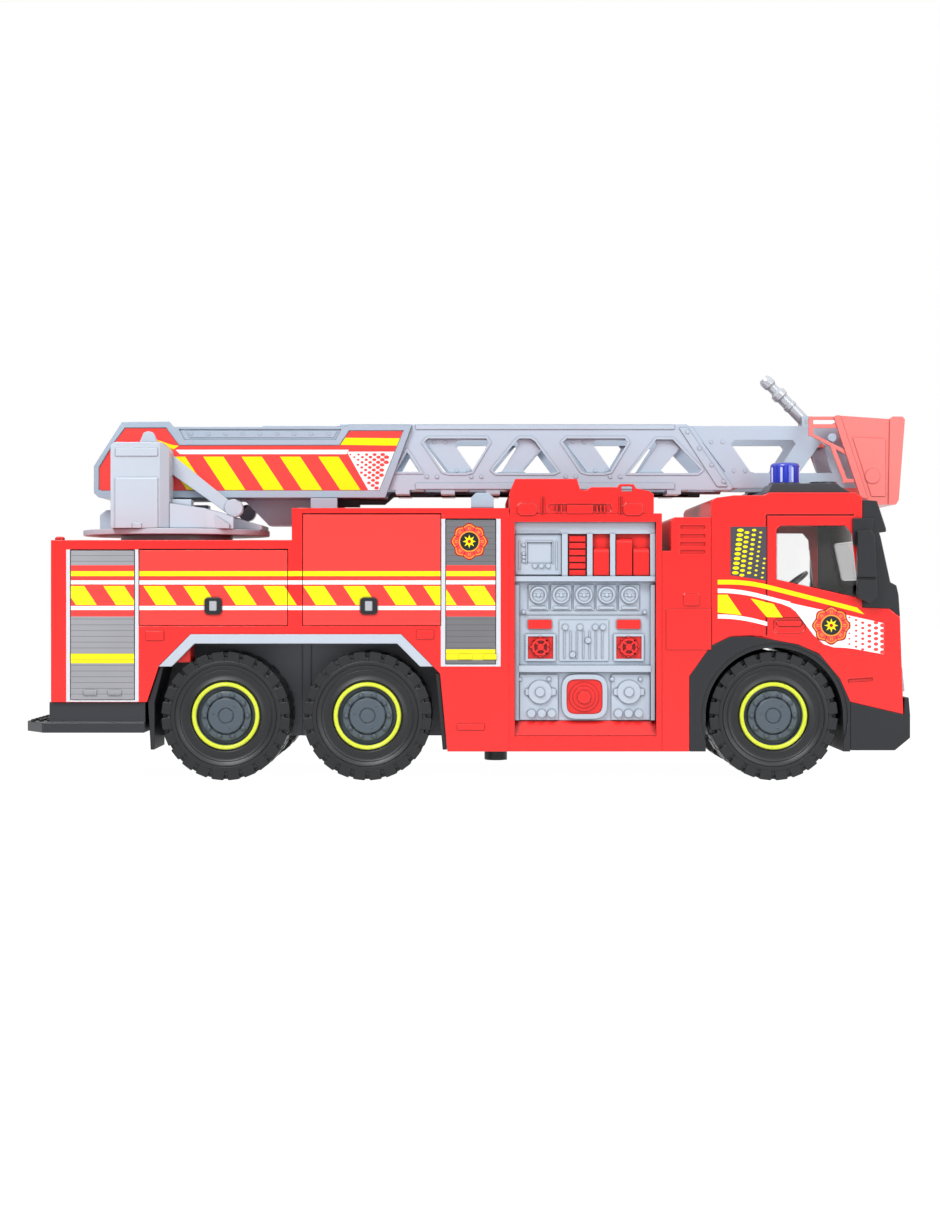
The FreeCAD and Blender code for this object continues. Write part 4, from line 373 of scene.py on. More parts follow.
def chevrons(tree, x, z, start, pitch, width, lean):
    """1 on slanting bars: they lean towards +X downwards by lean, from start, in millimetres."""
    slid = calc(tree, "SUBTRACT", calc(tree, "MULTIPLY_ADD", z, lean, x), start * MM)
    return calc(tree, "LESS_THAN", calc(tree, "FLOORED_MODULO", slid, pitch * MM), width * MM)


def on_the_side(tree, y, least=88.4):
    """1 on the outermost faces of both sides."""
    return calc(tree, "GREATER_THAN", calc(tree, "ABSOLUTE", y), least * MM)


def stripes(tree, place, colour, from_x, to_x):
    """The long lines and the chevron band, between two places along the body."""
    x, y, z = add(tree, "ShaderNodeSeparateXYZ", {0: place}).outputs
    field = both(tree, on_the_side(tree, y), within(tree, x, from_x, to_x))
    for low, high, line_colour in STRIPES:
        colour = blend_colours(tree, both(tree, field, within(tree, z, low, high)), colour, line_colour)
    start = CHEVRON_START + CHEVRON_HIGH * CHEVRON_LEAN
    bars = chevrons(tree, x, z, start, CHEVRON_PITCH, CHEVRON_WIDTH, CHEVRON_LEAN)
    band = both(tree, field, within(tree, z, CHEVRON_LOW, CHEVRON_HIGH))
    return blend_colours(tree, both(tree, band, bars), colour, YELLOW)


def side_print(tree, place, colour):
    """The body side's foil, and the pale frames printed beside the shutters."""
    x, y, z = add(tree, "ShaderNodeSeparateXYZ", {0: place}).outputs
    colour = stripes(tree, place, colour, -229.2, -20.0)
    side = on_the_side(tree, y)
    for rear, front, low, high in SIDE_FRAMES:
        patch = both(tree, within(tree, x, rear, front), within(tree, z, low, high))
        colour = blend_colours(tree, both(tree, side, patch), colour, FRAME_GREY)
    return colour


# red ABS from a polished mould: a bright, even face with clear lamp reflections, and painted shade that
# reaches further into its creases
red_abs = moulded("red_abs", RED, 0.22, painted_shade_reach=PAINTED_SHADE_REACH_RED)
striped_abs = moulded("red_abs_striped", RED, 0.22, print_on=side_print)
for name in ("body_side_right", "body_side_left"):
    soften(name, 0.4, striped_abs)
for name in ("body_deck", "body_tail"):
    soften(name, 0.5, red_abs)


def plank(rear, front, low, high):
    """The outline of a plain rectangle."""
    return [(rear, low), (front, low), (front, high), (rear, high)]


def turned(profile, place, axis, steps=48):
    """A form turned about an axis through a place: (radius, way along the axis) in millimetres.

    A profile that starts on the axis is a solid from pole to pole; any other is a closed ring.
    """
    form = bmesh.new()
    across = Vector(axis).to_track_quat("Z", "X").to_matrix()
    rings = []
    for step in range(steps):
        angle = math.tau * step / steps
        rings.append([form.verts.new((Vector(place) + across @ Vector((
            radius * math.cos(angle), radius * math.sin(angle), way))) * MM) for radius, way in profile])
    count = len(profile)
    for step in range(steps):
        first, second = rings[step], rings[(step + 1) % steps]
        for i in range(count if profile[0][0] > 0 else count - 1):
            j = (i + 1) % count
            form.faces.new((first[i], first[j], second[j], second[i]))
    bmesh.ops.remove_doubles(form, verts=form.verts, dist=0.001 * MM)
    bmesh.ops.recalc_face_normals(form, faces=form.faces)
    return form


ACROSS, UP = (0, 1, 0), (0, 0, 1)
SIDE_BLOCKS = ((-224.5, -212.0, 97.4, 104.2), (-37.0, -25.0, 98.2, 104.8), (-9.0, 10.0, 35.2, 39.8))
blocks = [carved(plank(*row), -89.7, -88.6, 0.3) for row in SIDE_BLOCKS]
knob = turned([(0, 0), (3.4, 0), (3.4, 1.6), (2.6, 2.5), (0, 2.7)], (-285.5, -82, 166.9), UP, 24)
settle("body_reliefs", cast("body_reliefs", *blocks, knob, mirror=True), "body_deck", red_abs)

# ---------------------------------------------------------------- tail
# The tail wall is red ABS, with a louvred hatch, its raised frame and a grip moulded on, and three
# square lamps of clear red polystyrene pressed into each side. The forms are laid out on a wall
# that faces -Y and then turned on to the tail.


def rim(outline, width, near, far):
    """A raised band of a given width round a closed outline (x, z), from y near to y far."""
    count = len(outline)
    corners = [Vector(corner) for corner in outline]
    area = sum(a.x * b.y - b.x * a.y for a, b in zip(corners, corners[1:] + corners[:1]))
    out = math.copysign(width, area)
    wide = []
    for i, corner in enumerate(corners):
        before = (corner - corners[i - 1]).normalized()
        after = (corners[(i + 1) % count] - corner).normalized()
        bisector = (Vector((before.y, -before.x)) + Vector((after.y, -after.x))).normalized()
        wide.append(corner + bisector * (out / max(bisector.dot(Vector((before.y, -before.x))), 0.4)))
    form = bmesh.new()
    rows = [[form.verts.new((x * MM, y * MM, z * MM)) for x, z in line]
            for line, y in ((corners, near), (wide, near), (wide, far), (corners, far))]
    for i in range(count):
        j = (i + 1) % count
        for a in range(4):
            b = (a + 1) % 4
            form.faces.new((rows[a][i], rows[a][j], rows[b][j], rows[b][i]))
    bmesh.ops.recalc_face_normals(form, faces=form.faces)
    return form


tail_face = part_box("body_tail")[0].x
on_tail = Matrix.Translation((tail_face, 0, 0)) @ Matrix.Rotation(math.radians(-90), 4, "Z")
hatch = [(-46, 66), (46, 66), (50, 70), (50, 146), (46, 150), (-46, 150), (-50, 146), (-50, 70)]
hatch_forms = [rim(hatch, 2.0, -0.9, 0.4), carved(plank(-14, 14, 74, 80), -2.4, 0.4, 0.6)]
hatch_forms += [carved(plank(-44, 44, z, z + 1.4), -0.6, 0.4, 0.2) for z in range(88, 146, 8)]
hatch_mesh = cast("tail_hatch", *hatch_forms)
hatch_mesh.transform(on_tail)
settle("tail_hatch", hatch_mesh, "body_tail", red_abs)
# clear polystyrene with red dye: glassy, and darker where it is thick
lamp_red = moulded("red_polystyrene", "#c4141a", 0.1, relief=0.0, edge=0.3, **{"Transmission Weight": 0.2})
lamp_mesh = cast("tail_lamps", *[carved(square(70.0, z, 6.0), -1.9, 0.4, 0.6) for z in (72.0, 86.0, 100.0)])
lamp_mesh.transform(on_tail)
settle("tail_lamps", cast("tail_lamps", lamp_mesh, mirror=True), "body_tail", lamp_red)

# ---------------------------------------------------------------- lockers behind the doors
# Plain boxes moulded in grey polypropylene, open to the side and fixed behind the door frames.
# They have no paint, so their faces are dull and slightly waxy.


def wear(piece, material):
    """Give a whole piece one material."""
    piece.data.materials.clear()
    piece.data.materials.append(material)


# polypropylene keeps the mould's fine texture: a pale grey that hardly reflects
grey_pp = moulded("grey_polypropylene", "#9aa0a8", 0.45, relief=0.05)
for name in ("lockers_right", "lockers_left"):
    wear(nodes[name], grey_pp)

# ---------------------------------------------------------------- doors
# Flaps and shutters are red and grey ABS covered by printed foil. The shutters' foil shows
# slats 4 mm high, the same stripes on a red field and one yellow band near the foot. A flap's
# snap latch is a black square with a silver button; a plain rosette marks the middle shutter.

SLAT, SLAT_GROOVE, GROOVE_INK = 4.0, 0.45, 0.45
WHOLE_LENGTH = (-400, 400)


def flap_print(tree, place, colour):
    """Foil over a whole flap: brighter red with the stripes."""
    y = add(tree, "ShaderNodeSeparateXYZ", {0: place}).outputs["Y"]
    colour = blend_colours(tree, on_the_side(tree, y), colour, FOIL_RED)
    return stripes(tree, place, colour, *WHOLE_LENGTH)


def shutter_print(low_band, high_band):
    """A printing function for a shutter whose yellow band lies between two heights."""
    def printed(tree, place, colour):
        _, y, z = add(tree, "ShaderNodeSeparateXYZ", {0: place}).outputs
        side = on_the_side(tree, y)
        field = both(tree, side, within(tree, z, 114.0, 149.5))
        colour = blend_colours(tree, field, colour, FOIL_RED)
        colour = stripes(tree, place, colour, *WHOLE_LENGTH)
        colour = blend_colours(tree, both(tree, side, within(tree, z, low_band, high_band)), colour, YELLOW)
        groove = calc(tree, "LESS_THAN", calc(tree, "FLOORED_MODULO", z, SLAT * MM), SLAT_GROOVE * MM)
        faint = calc(tree, "MULTIPLY", groove, GROOVE_INK)
        return blend_colours(tree, both(tree, faint, side), colour, linear("#34363a"))
    return printed


def ink(name, code):
    """Printed foil: a flat ink under a thin gloss film."""
    return moulded(name, code, 0.2, relief=0.01, edge=0.05, shade=0.97)


# foil over ABS: brighter than the bare plastic, and the shutters' slats are only printed
foil_flap = moulded("foiled_abs_flap", RED, 0.2, print_on=flap_print)
foil_rear = moulded("foiled_abs_rear_shutter", "#a2a3a9", 0.3, print_on=shutter_print(81.6, 88.4),
                    shade=0.75)
foil_mid = moulded("foiled_abs_mid_shutter", "#77787c", 0.3, print_on=shutter_print(83.9, 91.2),
                   shade=0.75)
# silver lacquer: fine metal flakes under it give a bright but blurred shine
silver_abs = moulded("silver_lacquered_abs", "#bfc3ca", 0.3, relief=0.01, edge=0.15, Metallic=0.4)
INKS = {name: ink(f"{name}_ink", code) for name, code in (
    ("yellow", "#fff000"), ("white", "#fbfbfd"), ("red", "#f94743"), ("wine", "#b5141a"),
    ("orange", "#f8a13a"), ("black", "#1f2628"), ("slate", "#4d4a52"))}
FILM = 0.05  # the step from one level of foil to the next


def print_foil(name, node, patches, side, mirror=True):
    """Patches of thin film, each (ink, level, outline), laid in levels on a face y = side."""
    used = []
    sheets = []
    for colour, level, outline in patches:
        if colour not in used:
            used.append(colour)
        sheet = carved(outline, side - FILM * level, side + FILM)
        for face in sheet.faces:
            face.material_index = used.index(colour)
        sheets.append(sheet)
    return settle(name, cast(name, *sheets, mirror=mirror), node, *[INKS[colour] for colour in used])


def oval(x, z, half_x, half_z, count):
    """The outline of an oval with a few corners."""
    return [(x + half_x * math.cos(math.tau * i / count), z + half_z * math.sin(math.tau * i / count))
            for i in range(count)]


def lobed(x, z, radius, waves, depth, count=96):
    """A round outline with soft lobes."""
    outline = []
    for i in range(count):
        turn = math.tau * i / count
        reach = radius + depth * math.cos(waves * turn)
        outline.append((x + reach * math.cos(turn), z + reach * math.sin(turn)))
    return outline


def rosette(x, z, radius):
    """A plain badge: lobed rings round a dark disc with an eight-pointed star, no writing."""
    patches = [("wine", 1, lobed(x, z, radius * 0.94, 8, radius * 0.06)),
               ("orange", 2, lobed(x, z, radius * 0.87, 8, radius * 0.05)),
               ("red", 3, lobed(x, z, radius * 0.81, 8, radius * 0.05)),
               ("orange", 4, lobed(x, z, radius * 0.56, 8, 0)),
               ("black", 5, lobed(x, z, radius * 0.49, 8, 0))]
    spoke = plank(0.6, 0.84, -0.02, 0.02)
    upper_tick, lower_tick = plank(0.62, 0.77, 0.025, 0.065), plank(0.62, 0.77, -0.065, -0.025)
    marks = (("wine", spoke, 0.5), ("orange", upper_tick, 0), ("orange", lower_tick, 0))
    for i in range(8):
        for colour, shape, lag in marks:
            c, s = math.cos(math.tau * (i + lag) / 8), math.sin(math.tau * (i + lag) / 8)
            patches.append((colour, 4, [(x + radius * (a * c - b * s), z + radius * (a * s + b * c))
                                        for a, b in shape]))
    star = []
    for i in range(16):
        turn = math.tau * i / 16
        reach = radius * (0.36 if i % 2 == 0 else 0.17)
        star.append((x + reach * math.cos(turn), z + reach * math.sin(turn)))
    return patches + [("yellow", 6, star), ("wine", 7, lobed(x, z, radius * 0.09, 8, 0, 24))]


def to_side(mesh, side_name):
    """Mirror a mesh made for the right side if it goes on the left one."""
    if side_name == "left":
        mesh.transform(Matrix.Diagonal((1, -1, 1, 1)))
        mesh.flip_normals()


DOOR_FACE = -89.0
LATCHES = (("rear_flap", -177.8), ("roof_flap", -70.1))
LATCH_HEIGHT, LATCH_REACH = 121.3, 5.9
BUTTON_HALF_WIDTH, BUTTON_HALF_HEIGHT = 2.6, 3.4
DOOR_FOILS = (("rear_flap", foil_flap), ("roof_flap", foil_flap), ("rear_shutter", foil_rear),
              ("mid_shutter", foil_mid))
for side_name in ("right", "left"):
    for door, foil in DOOR_FOILS:
        soften(f"{door}_{side_name}", 0.25, foil)
    for door, x in LATCHES:
        plate = cast(f"{door}_{side_name}_latch_plate",
                     carved(square(x, LATCH_HEIGHT, LATCH_REACH), DOOR_FACE - 1.9, DOOR_FACE + 0.2, 0.5))
        button_outline = plank(x - BUTTON_HALF_WIDTH, x + BUTTON_HALF_WIDTH,
                               LATCH_HEIGHT - BUTTON_HALF_HEIGHT, LATCH_HEIGHT + BUTTON_HALF_HEIGHT)
        button = cast(f"{door}_{side_name}_latch_button",
                      carved(button_outline, DOOR_FACE - 2.6, DOOR_FACE - 1.4, 0.4))
        for mesh, finish in ((plate, black_abs), (button, silver_abs)):
            to_side(mesh, side_name)
            settle(mesh.name, mesh, f"{door}_{side_name}", finish)
    badge = print_foil(f"mid_shutter_{side_name}_badge", f"mid_shutter_{side_name}",
                       rosette(-0.5, 166.0, 13.0), DOOR_FACE, mirror=False)
    to_side(badge.data, side_name)

# ---------------------------------------------------------------- wheel housings
# The inner liners are charcoal ABS and the mud flaps the black ABS of the chassis. The arches'
# trim bands are pale grey ABS, snapped on. A red stop block is moulded inside the rear arch.

# grey ABS: cool and pale, with a soft gloss; the liners' darker grey is duller
grey_abs = moulded("grey_abs", "#a9b9ca", 0.26, edge=0.3)
liner_abs = moulded("charcoal_abs", "#7d8088", 0.42)
soften("wheel_liners", 0.4, liner_abs)
soften("mud_flaps", 0.4, black_abs)
soften("arch_trims", 0.5, moulded("pale_grey_abs", "#c0cad7", 0.28))
stop_block = carved([(-211, 82), (-211, 88), (-199, 96.5), (-194.5, 96.5), (-194.5, 82)], -84, -60, 0.5)
settle("arch_stops", cast("arch_stops", stop_block, mirror=True), "body_deck", red_abs)

# ---------------------------------------------------------------- pump module
# A red ABS frame round grey ABS instrument panels, with red inserts for the valves. Ribbed boxes
# with a hose trough stand on its roof. Dials, studs, label bars and the big valve's surround are
# moulded on the panels, and the sloped floor in front of them ends in a row of small teeth.

PANEL_FACE = -80.0


def dressed(name, material):
    """A CAD node's own mesh, smooth up to its sharp edges, in the node's place."""
    form = bmesh.new()
    form.from_mesh(bare(name))
    bmesh.ops.remove_doubles(form, verts=form.verts, dist=0.005 * MM)
    piece = settle(name + "_moulding", cast(name + "_moulding", form, sharp=28), name, material)
    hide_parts(name)
    return piece


def on_panel(outline, height, depth=0.5, edge=0.25):
    """A raised plate on the instrument panel, height millimetres above its face."""
    return carved(outline, PANEL_FACE - height, PANEL_FACE + depth, edge)


soften("pump_frame", 0.5, red_abs)
# the same plastics as the body's, with finer edges for the small reliefs
panel_abs = moulded("grey_abs_panel", "#bac6d4", 0.26, edge=0.15)
# its painted shade reaches as far as on the red pieces, so the recessed ground round the valves is painted
# darker
insert_abs = moulded("red_abs_insert", RED, 0.22, edge=0.15, painted_shade_reach=PAINTED_SHADE_REACH_RED)
dressed("pump_panels", panel_abs)
dressed("pump_inserts", insert_abs)
soften("roof_boxes", 0.6, red_abs)
BOX_FACE = -89.0
box_plates = [plank(67, 85.4, 185.2, 191.4)]
box_plates += [plank(x, x + 1.2, 185.2, 191.4) for x in (59.6, 62.6, 87.4, 90.0, 92.6)]
box_plates += [plank(x, x + 0.9, 184.6, 197.0) for x in (49.2, 50.9, 103.0, 104.7)]
box_forms = [carved(outline, BOX_FACE - 0.7, BOX_FACE + 0.4, 0.25) for outline in box_plates]
settle("roof_box_reliefs", cast("roof_box_reliefs", *box_forms, mirror=True), "roof_boxes", red_abs)
GAUGE_COUNT, GAUGE_PITCH = 5, 15.85
first_gauge = (47.6, PANEL_FACE, 128.8)
gauge_bezel = turned([(4.6, -3.1), (4.6, -3.9), (5.6, -3.9), (6.0, -3.3), (6.0, 1), (4.6, 1)],
                     first_gauge, ACROSS, 32)
gauge_hub = turned([(0, -4.1), (1.1, -4.1), (1.4, -3.6), (1.4, -2.6), (0, -2.6)], first_gauge, ACROSS, 16)
gauge = cast("gauge", gauge_bezel, gauge_hub,
             on_panel(plank(43.9, 51.3, 127.8, 129.8), 3.4),
             on_panel([(44.9, 129.6), (46.2, 131.4), (49.2, 131.4), (50.4, 129.6)], 3.4),
             on_panel([(42.4, 119.0), (52.8, 119.0), (53.4, 120.0), (52.8, 121.1), (42.4, 121.1),
                       (41.8, 120.0)], 1.9))
gauges = repeated(in_a_row, gauge, panel_abs, GAUGE_COUNT, Step=(GAUGE_PITCH * MM, 0, 0))
RIB_COUNT, RIB_PITCH = 7, 4.4
rib = on_panel(plank(65.2, 66.2, 84.5, 104.0), 1.5)
ribs = repeated(in_a_row, rib, panel_abs, RIB_COUNT, Step=(RIB_PITCH * MM, 0, 0))
stud = cast("stud", turned([(0, -3.6), (0.8, -3.5), (1.3, -2.9), (1.3, 0), (0, 0)], (0, 0, 0), ACROSS, 16))
STUDS = ((34.6, 70.2), (55.0, 70.2), (98.9, 70.2), (118.6, 70.2), (37.3, 116.9), (121.6, 116.9),
         (37.3, 157.5), (37.3, 155.1), (37.3, 152.4), (37.3, 163.5))
studs = []
for x, z in STUDS:
    placed_stud = stud.copy()
    placed_stud.transform(Matrix.Translation((x * MM, PANEL_FACE * MM, z * MM)))
    studs.append(placed_stud)
SCREEN_BARS = ((34.0, 35.2, 146.5, 166.5), (59.6, 60.8, 146.5, 166.5), (38.9, 57.8, 165.6, 166.8),
               (38.6, 39.6, 150.4, 165.8), (57.2, 58.2, 150.4, 165.8))
frames = [on_panel(plank(*bar), 3.0) for bar in SCREEN_BARS]
frames += [on_panel(plank(31.8, 63.0, 172.0, 173.2), 4.6), on_panel(plank(35.0, 122.4, 114.8, 115.4), 0.6)]
COUPLINGS = (49.2, 110.6)
for x in COUPLINGS:
    for way in (-1, 1):
        frames.append(on_panel([(x + 10.6 * way, 59.4), (x + 7 * way, 58.6), (x + 7 * way, 64.2),
                                (x + 10.6 * way, 63.4)], 3.0))
panel_reliefs = cast("panel_reliefs", gauges, ribs, *studs, *frames, mirror=True)
settle("panel_reliefs", panel_reliefs, "pump_panels", panel_abs)
BULGE = 0.4  # 1 would be an oval, 0 a plain square


def barrel(x, z, half_x, half_z, count=48):
    """The outline of a square with bulging sides and round corners."""
    outline = []
    for i in range(count):
        c, s = math.cos(math.tau * (i + 0.5) / count), math.sin(math.tau * (i + 0.5) / count)
        outline.append((x + math.copysign(half_x * abs(c) ** BULGE, c),
                        z + math.copysign(half_z * abs(s) ** BULGE, s)))
    return outline


valve_surround = rim(barrel(79.7, 58.15, 12.6, 12.2), 3.2, PANEL_FACE - 3.3, PANEL_FACE + 0.4)
settle("valve_surround", cast("valve_surround", valve_surround, mirror=True), "pump_panels", panel_abs)
TOOTH_COUNT, TOOTH_PITCH = 42, 2.28
tooth = carved([(32.6, 30.7), (33.8, 30.7), (33.5, 31.8), (32.9, 31.8)], -88.6, -86.0, 0.12)
teeth = repeated(in_a_row, tooth, red_abs, TOOTH_COUNT, Step=(TOOTH_PITCH * MM, 0, 0))
about_an_axle = copies_tree("about_an_axle", True)
HANDWHEELS, HANDWHEEL_HEIGHT, TIP_COUNT = (48.9, 110.2), 92.7, 8
handle_tips = []
for x in HANDWHEELS:
    tip = carved([(-1.0, 5.6), (1.0, 5.6), (0.7, 7.4), (-0.7, 7.4)], -83.0, -81.6, 0.2)
    centre = (x * MM, 0, HANDWHEEL_HEIGHT * MM)
    handle_tips.append(repeated(about_an_axle, tip, red_abs, TIP_COUNT, Centre=centre, Phase=0.0))
settle("pump_reliefs", cast("pump_reliefs", teeth, *handle_tips, mirror=True), "pump_frame", red_abs)

# ---------------------------------------------------------------- column and cab
# One red ABS moulding each: the cab is a hollow shell with clear styrene panes and a black surround
# that holds the windscreen. Printed foil on its sides has falling lines, two slanted bars, a white
# field with red dots, a dark panel with yellow dots and a plain rosette.

SIDE = -89.0
# painted shade reaches as far into the cab's creases as on the other red pieces
red_cab = moulded("red_abs_cab", RED, 0.22, painted_shade_reach=PAINTED_SHADE_REACH_RED)
soften("cab_column", 0.5, red_abs)
soften("cab_shell", 0.7, red_cab)
soften("windscreen_surround", 0.6, black_abs)
soften("cab_interior", 0.5, black_abs)
soften("grille", 0.3, black_abs)
# clear styrene: see-through with sharp reflections; frosted, it scatters light and looks white
clear = moulded("clear_styrene", "#ffffff", 0.03, relief=0.0, edge=0.1, shade=1.0, painted_shade_reach=0,
                **{"Transmission Weight": 1.0})
lens = moulded("frosted_styrene", "#eef1f6", 0.12, relief=0.0, edge=0.2, shade=1.0, painted_shade_reach=0,
               **{"Transmission Weight": 0.35})
wear(nodes["headlights"], lens)
for name in ("side_glass", "windscreen_glass"):
    wear(nodes[name], clear)


def fall(x, start, slope, ease=14.0):
    """How far a line has dropped at x: level up to start, then falling, with a soft bend between."""
    past = x - start
    if past <= -ease:
        return 0.0
    if past >= ease:
        return past * slope
    return slope * (past + ease) ** 2 / (4 * ease)


def falling_band(rear, front, low, high, start, slope, steps=22):
    """A foil line that runs level from the rear and then falls towards the front."""
    places = [rear + (front - rear) * i / steps for i in range(steps + 1)]
    upper = [(x, high - fall(x, start, slope)) for x in places]
    lower = [(x, low - fall(x, start, slope)) for x in reversed(places)]
    return upper + lower


def dots(colour, level, rear, front, low, high, pitch_x, pitch_z, lean, small, large, inside):
    """Rows of flat oval dots that grow from small to large towards the front, where inside says so."""
    patches = []
    columns = int((front - rear) / pitch_x) + 1
    rows = int((high - low) / pitch_z) + 2
    for column in range(columns):
        share = column / max(columns - 1, 1)
        half_x = small[0] + (large[0] - small[0]) * share
        half_z = small[1] + (large[1] - small[1]) * share
        for row in range(rows):
            z = low + pitch_z * (row + 0.5 * (column % 2))
            x = rear + pitch_x * (column + 0.5) + lean * (z - low)
            if inside(x, z, half_x, half_z):
                patches.append((colour, level, oval(x, z, half_x, half_z, 10)))
    return patches


def between(x, z, corners):
    """Whether a place lies inside a convex outline given anticlockwise."""
    count = len(corners)
    for i in range(count):
        (ax, az), (bx, bz) = corners[i], corners[(i + 1) % count]
        if (bx - ax) * (z - az) - (bz - az) * (x - ax) < 0:
            return False
    return True


CAB_REAR = 171.6
yellow_line = falling_band(CAB_REAR, 268.0, low=136.2, high=139.4, start=193.0, slope=0.2555)
front_end = len(yellow_line) // 2 - 1
yellow_line[front_end:front_end + 2] = [(268.0, 120.2), (273.2, 115.5)]  # the end is cut on the slant
dot_field = [(264.8, 91.8), (286.4, 87.8), (286.4, 109.4), (264.8, 114.2)]
swoosh = [(221.0, 123.6), (213.0, 126.2), (216.5, 122.4), (221.8, 120.4), (225.8, 117.2), (231.0, 110.4),
          (237.9, 101.2), (244.9, 94.9), (251.8, 92.6), (258.5, 92.4), (264.9, 91.7), (264.9, 114.2),
          (254.0, 116.9), (241.0, 119.2)]
panel_corners = [(180.4, 142.6), (205.4, 138.8), (205.4, 176.2), (180.4, 176.2)]
cab_patches = [
    ("yellow", 1, yellow_line),
    ("white", 1, falling_band(CAB_REAR, 222.0, low=130.3, high=133.3, start=187.0, slope=0.262)),
    ("white", 1, falling_band(CAB_REAR, 205.9, low=112.6, high=115.5, start=186.0, slope=0.26)),
    ("yellow", 1, [(CAB_REAR, 116.8), (188.2, 114.9), (178.4, 129.1), (CAB_REAR, 129.1)]),
    ("yellow", 1, [(205.6, 113.6), (216.6, 113.4), (210.4, 122.6), (194.4, 126.6)]),
    ("white", 2, swoosh), ("white", 3, dot_field), ("slate", 1, panel_corners),
]
dotted_part = [(257.0, 92.6), (286.4, 87.8), (286.4, 109.4), (262.8, 114.2)]
cab_patches += dots("red", 4, rear=260.5, front=288.5, low=87.5, high=116, pitch_x=4.6, pitch_z=3.7,
                    lean=0.0, small=(0.7, 0.6), large=(2.1, 1.5),
                    inside=lambda x, z, half_x, half_z: between(x, z, dotted_part))
PANEL_FOOT, PANEL_ROWS, ROW_PITCH, COLUMN_PITCH, COLUMN_LEAN = 141.0, 12, 3.28, 4.75, 0.12
DOT_HALVES = ((2.3, 1.15), (1.75, 0.95), (1.5, 0.85), (1.0, 0.65), (0.95, 0.6))
for column, (half_x, half_z) in enumerate(DOT_HALVES):
    for row in range(PANEL_ROWS):
        z = PANEL_FOOT + ROW_PITCH * (row + 0.5 * (column % 2))
        x = 183.4 + COLUMN_PITCH * column + COLUMN_LEAN * (z - PANEL_FOOT)
        if between(x, z - 0.8, panel_corners) and x + half_x < 205.2 and z + half_z < 175.9:
            cab_patches.append(("yellow", 2, oval(x, z, half_x, half_z, 12)))
ABOVE_THE_DOTS = 4
cab_patches += [(colour, level + ABOVE_THE_DOTS, outline)
                for colour, level, outline in rosette(250.2, 107.8, 13.4)]
print_foil("cab_foil", "cab_shell", cab_patches, SIDE)

# ---------------------------------------------------------------- cab's outside pieces
# Mirrors and bumper are black ABS, the front arches dark grey and the light tray slate grey. The
# beacons are tinted blue polystyrene, with eight upright ribs in the wall that are coloured pale
# blue as painted highlight streaks, and each stands on a foot ring.

dark_abs = moulded("dark_grey_abs", "#1f2126", 0.33)
tray_abs = moulded("slate_grey_abs", "#393c42", 0.3)
soften("light_tray", 0.5, tray_abs)
soften("front_arches", 0.5, dark_abs)
for name in ("mirrors", "front_bumper"):
    soften(name, 0.5, black_abs)
# blue-dyed polystyrene: deep blue with a wet gloss; the ribs' pale blue is a painted highlight
blue_lens = moulded("blue_polystyrene", "#2439d6", 0.06, relief=0.0, edge=0.2, shade=0.8, painted_shade_reach=0,
                    **{"Transmission Weight": 0.3, "Coat Weight": 0.5})
soften("beacons", 0.6, blue_lens)
beacon_low, beacon_high = (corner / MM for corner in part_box("beacons"))
beacon_radius = (beacon_high.x - beacon_low.x) / 2
beacon_foot = ((beacon_low.x + beacon_high.x) / 2, beacon_low.y + beacon_radius, beacon_low.z)
FLUTE_COUNT, FLUTE_RADIUS = 8, 0.9
flutes = []
for i in range(FLUTE_COUNT):
    turn = math.tau * (i + 0.5) / FLUTE_COUNT
    place = (beacon_foot[0] + (beacon_radius - 0.35) * math.cos(turn),
             beacon_foot[1] + (beacon_radius - 0.35) * math.sin(turn), beacon_foot[2])
    flutes.append(turned([(0, 1.0), (FLUTE_RADIUS, 1.6), (FLUTE_RADIUS, 11.8), (0, 12.6)], place, UP, 8))
foot_ring = turned([(beacon_radius - 1, 0), (beacon_radius + 1.2, 0), (beacon_radius + 1.2, 0.9),
                    (beacon_radius + 0.4, 1.3), (beacon_radius - 1, 1.3)], beacon_foot, UP, 40)
# the ribs' near-white blue is a painted highlight: bright streaks of light on the beacon
flute_painted_highlight = moulded("blue_polystyrene_flutes_painted_highlight", "#c9d3ff", 0.05, relief=0.0, edge=0.1, painted_shade_reach=0)
settle("beacon_flutes", cast("beacon_flutes", *flutes, mirror=True), "beacons", flute_painted_highlight)
settle("beacon_feet", cast("beacon_feet", foot_ring, mirror=True), "light_tray", tray_abs)
soften("roof_blocks", 0.5, grey_abs)

# ---------------------------------------------------------------- wheels
# Soft black PVC tyres, with dished and ringed side walls and chunky lugs over both shoulders, on
# blue-grey ABS hubs pressed on plain steel rods. A hub has ten nuts round a raised disc, and a
# bright yellow-green ring is snapped over its rim.

WHEEL_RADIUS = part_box("front_tyres")[1].z / MM / 2
WHEEL_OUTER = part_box("front_tyres")[0].y / MM
wheel_face = (0, WHEEL_OUTER, WHEEL_RADIUS)
# soft PVC from a blasted mould: a dull black, next to which the hubs and rings look glossy
tyre_pvc = moulded("black_pvc", "#17191d", 0.42, grain=0.8, relief=0.1)
hub_abs = moulded("blue_grey_abs", "#4d5964", 0.34)
ring_abs = moulded("yellow_green_abs", "#e2f03c", 0.3)
# drawn steel: a plain bright metal
steel = moulded("drawn_steel", "#b9bcc2", 0.3, Metallic=1.0)
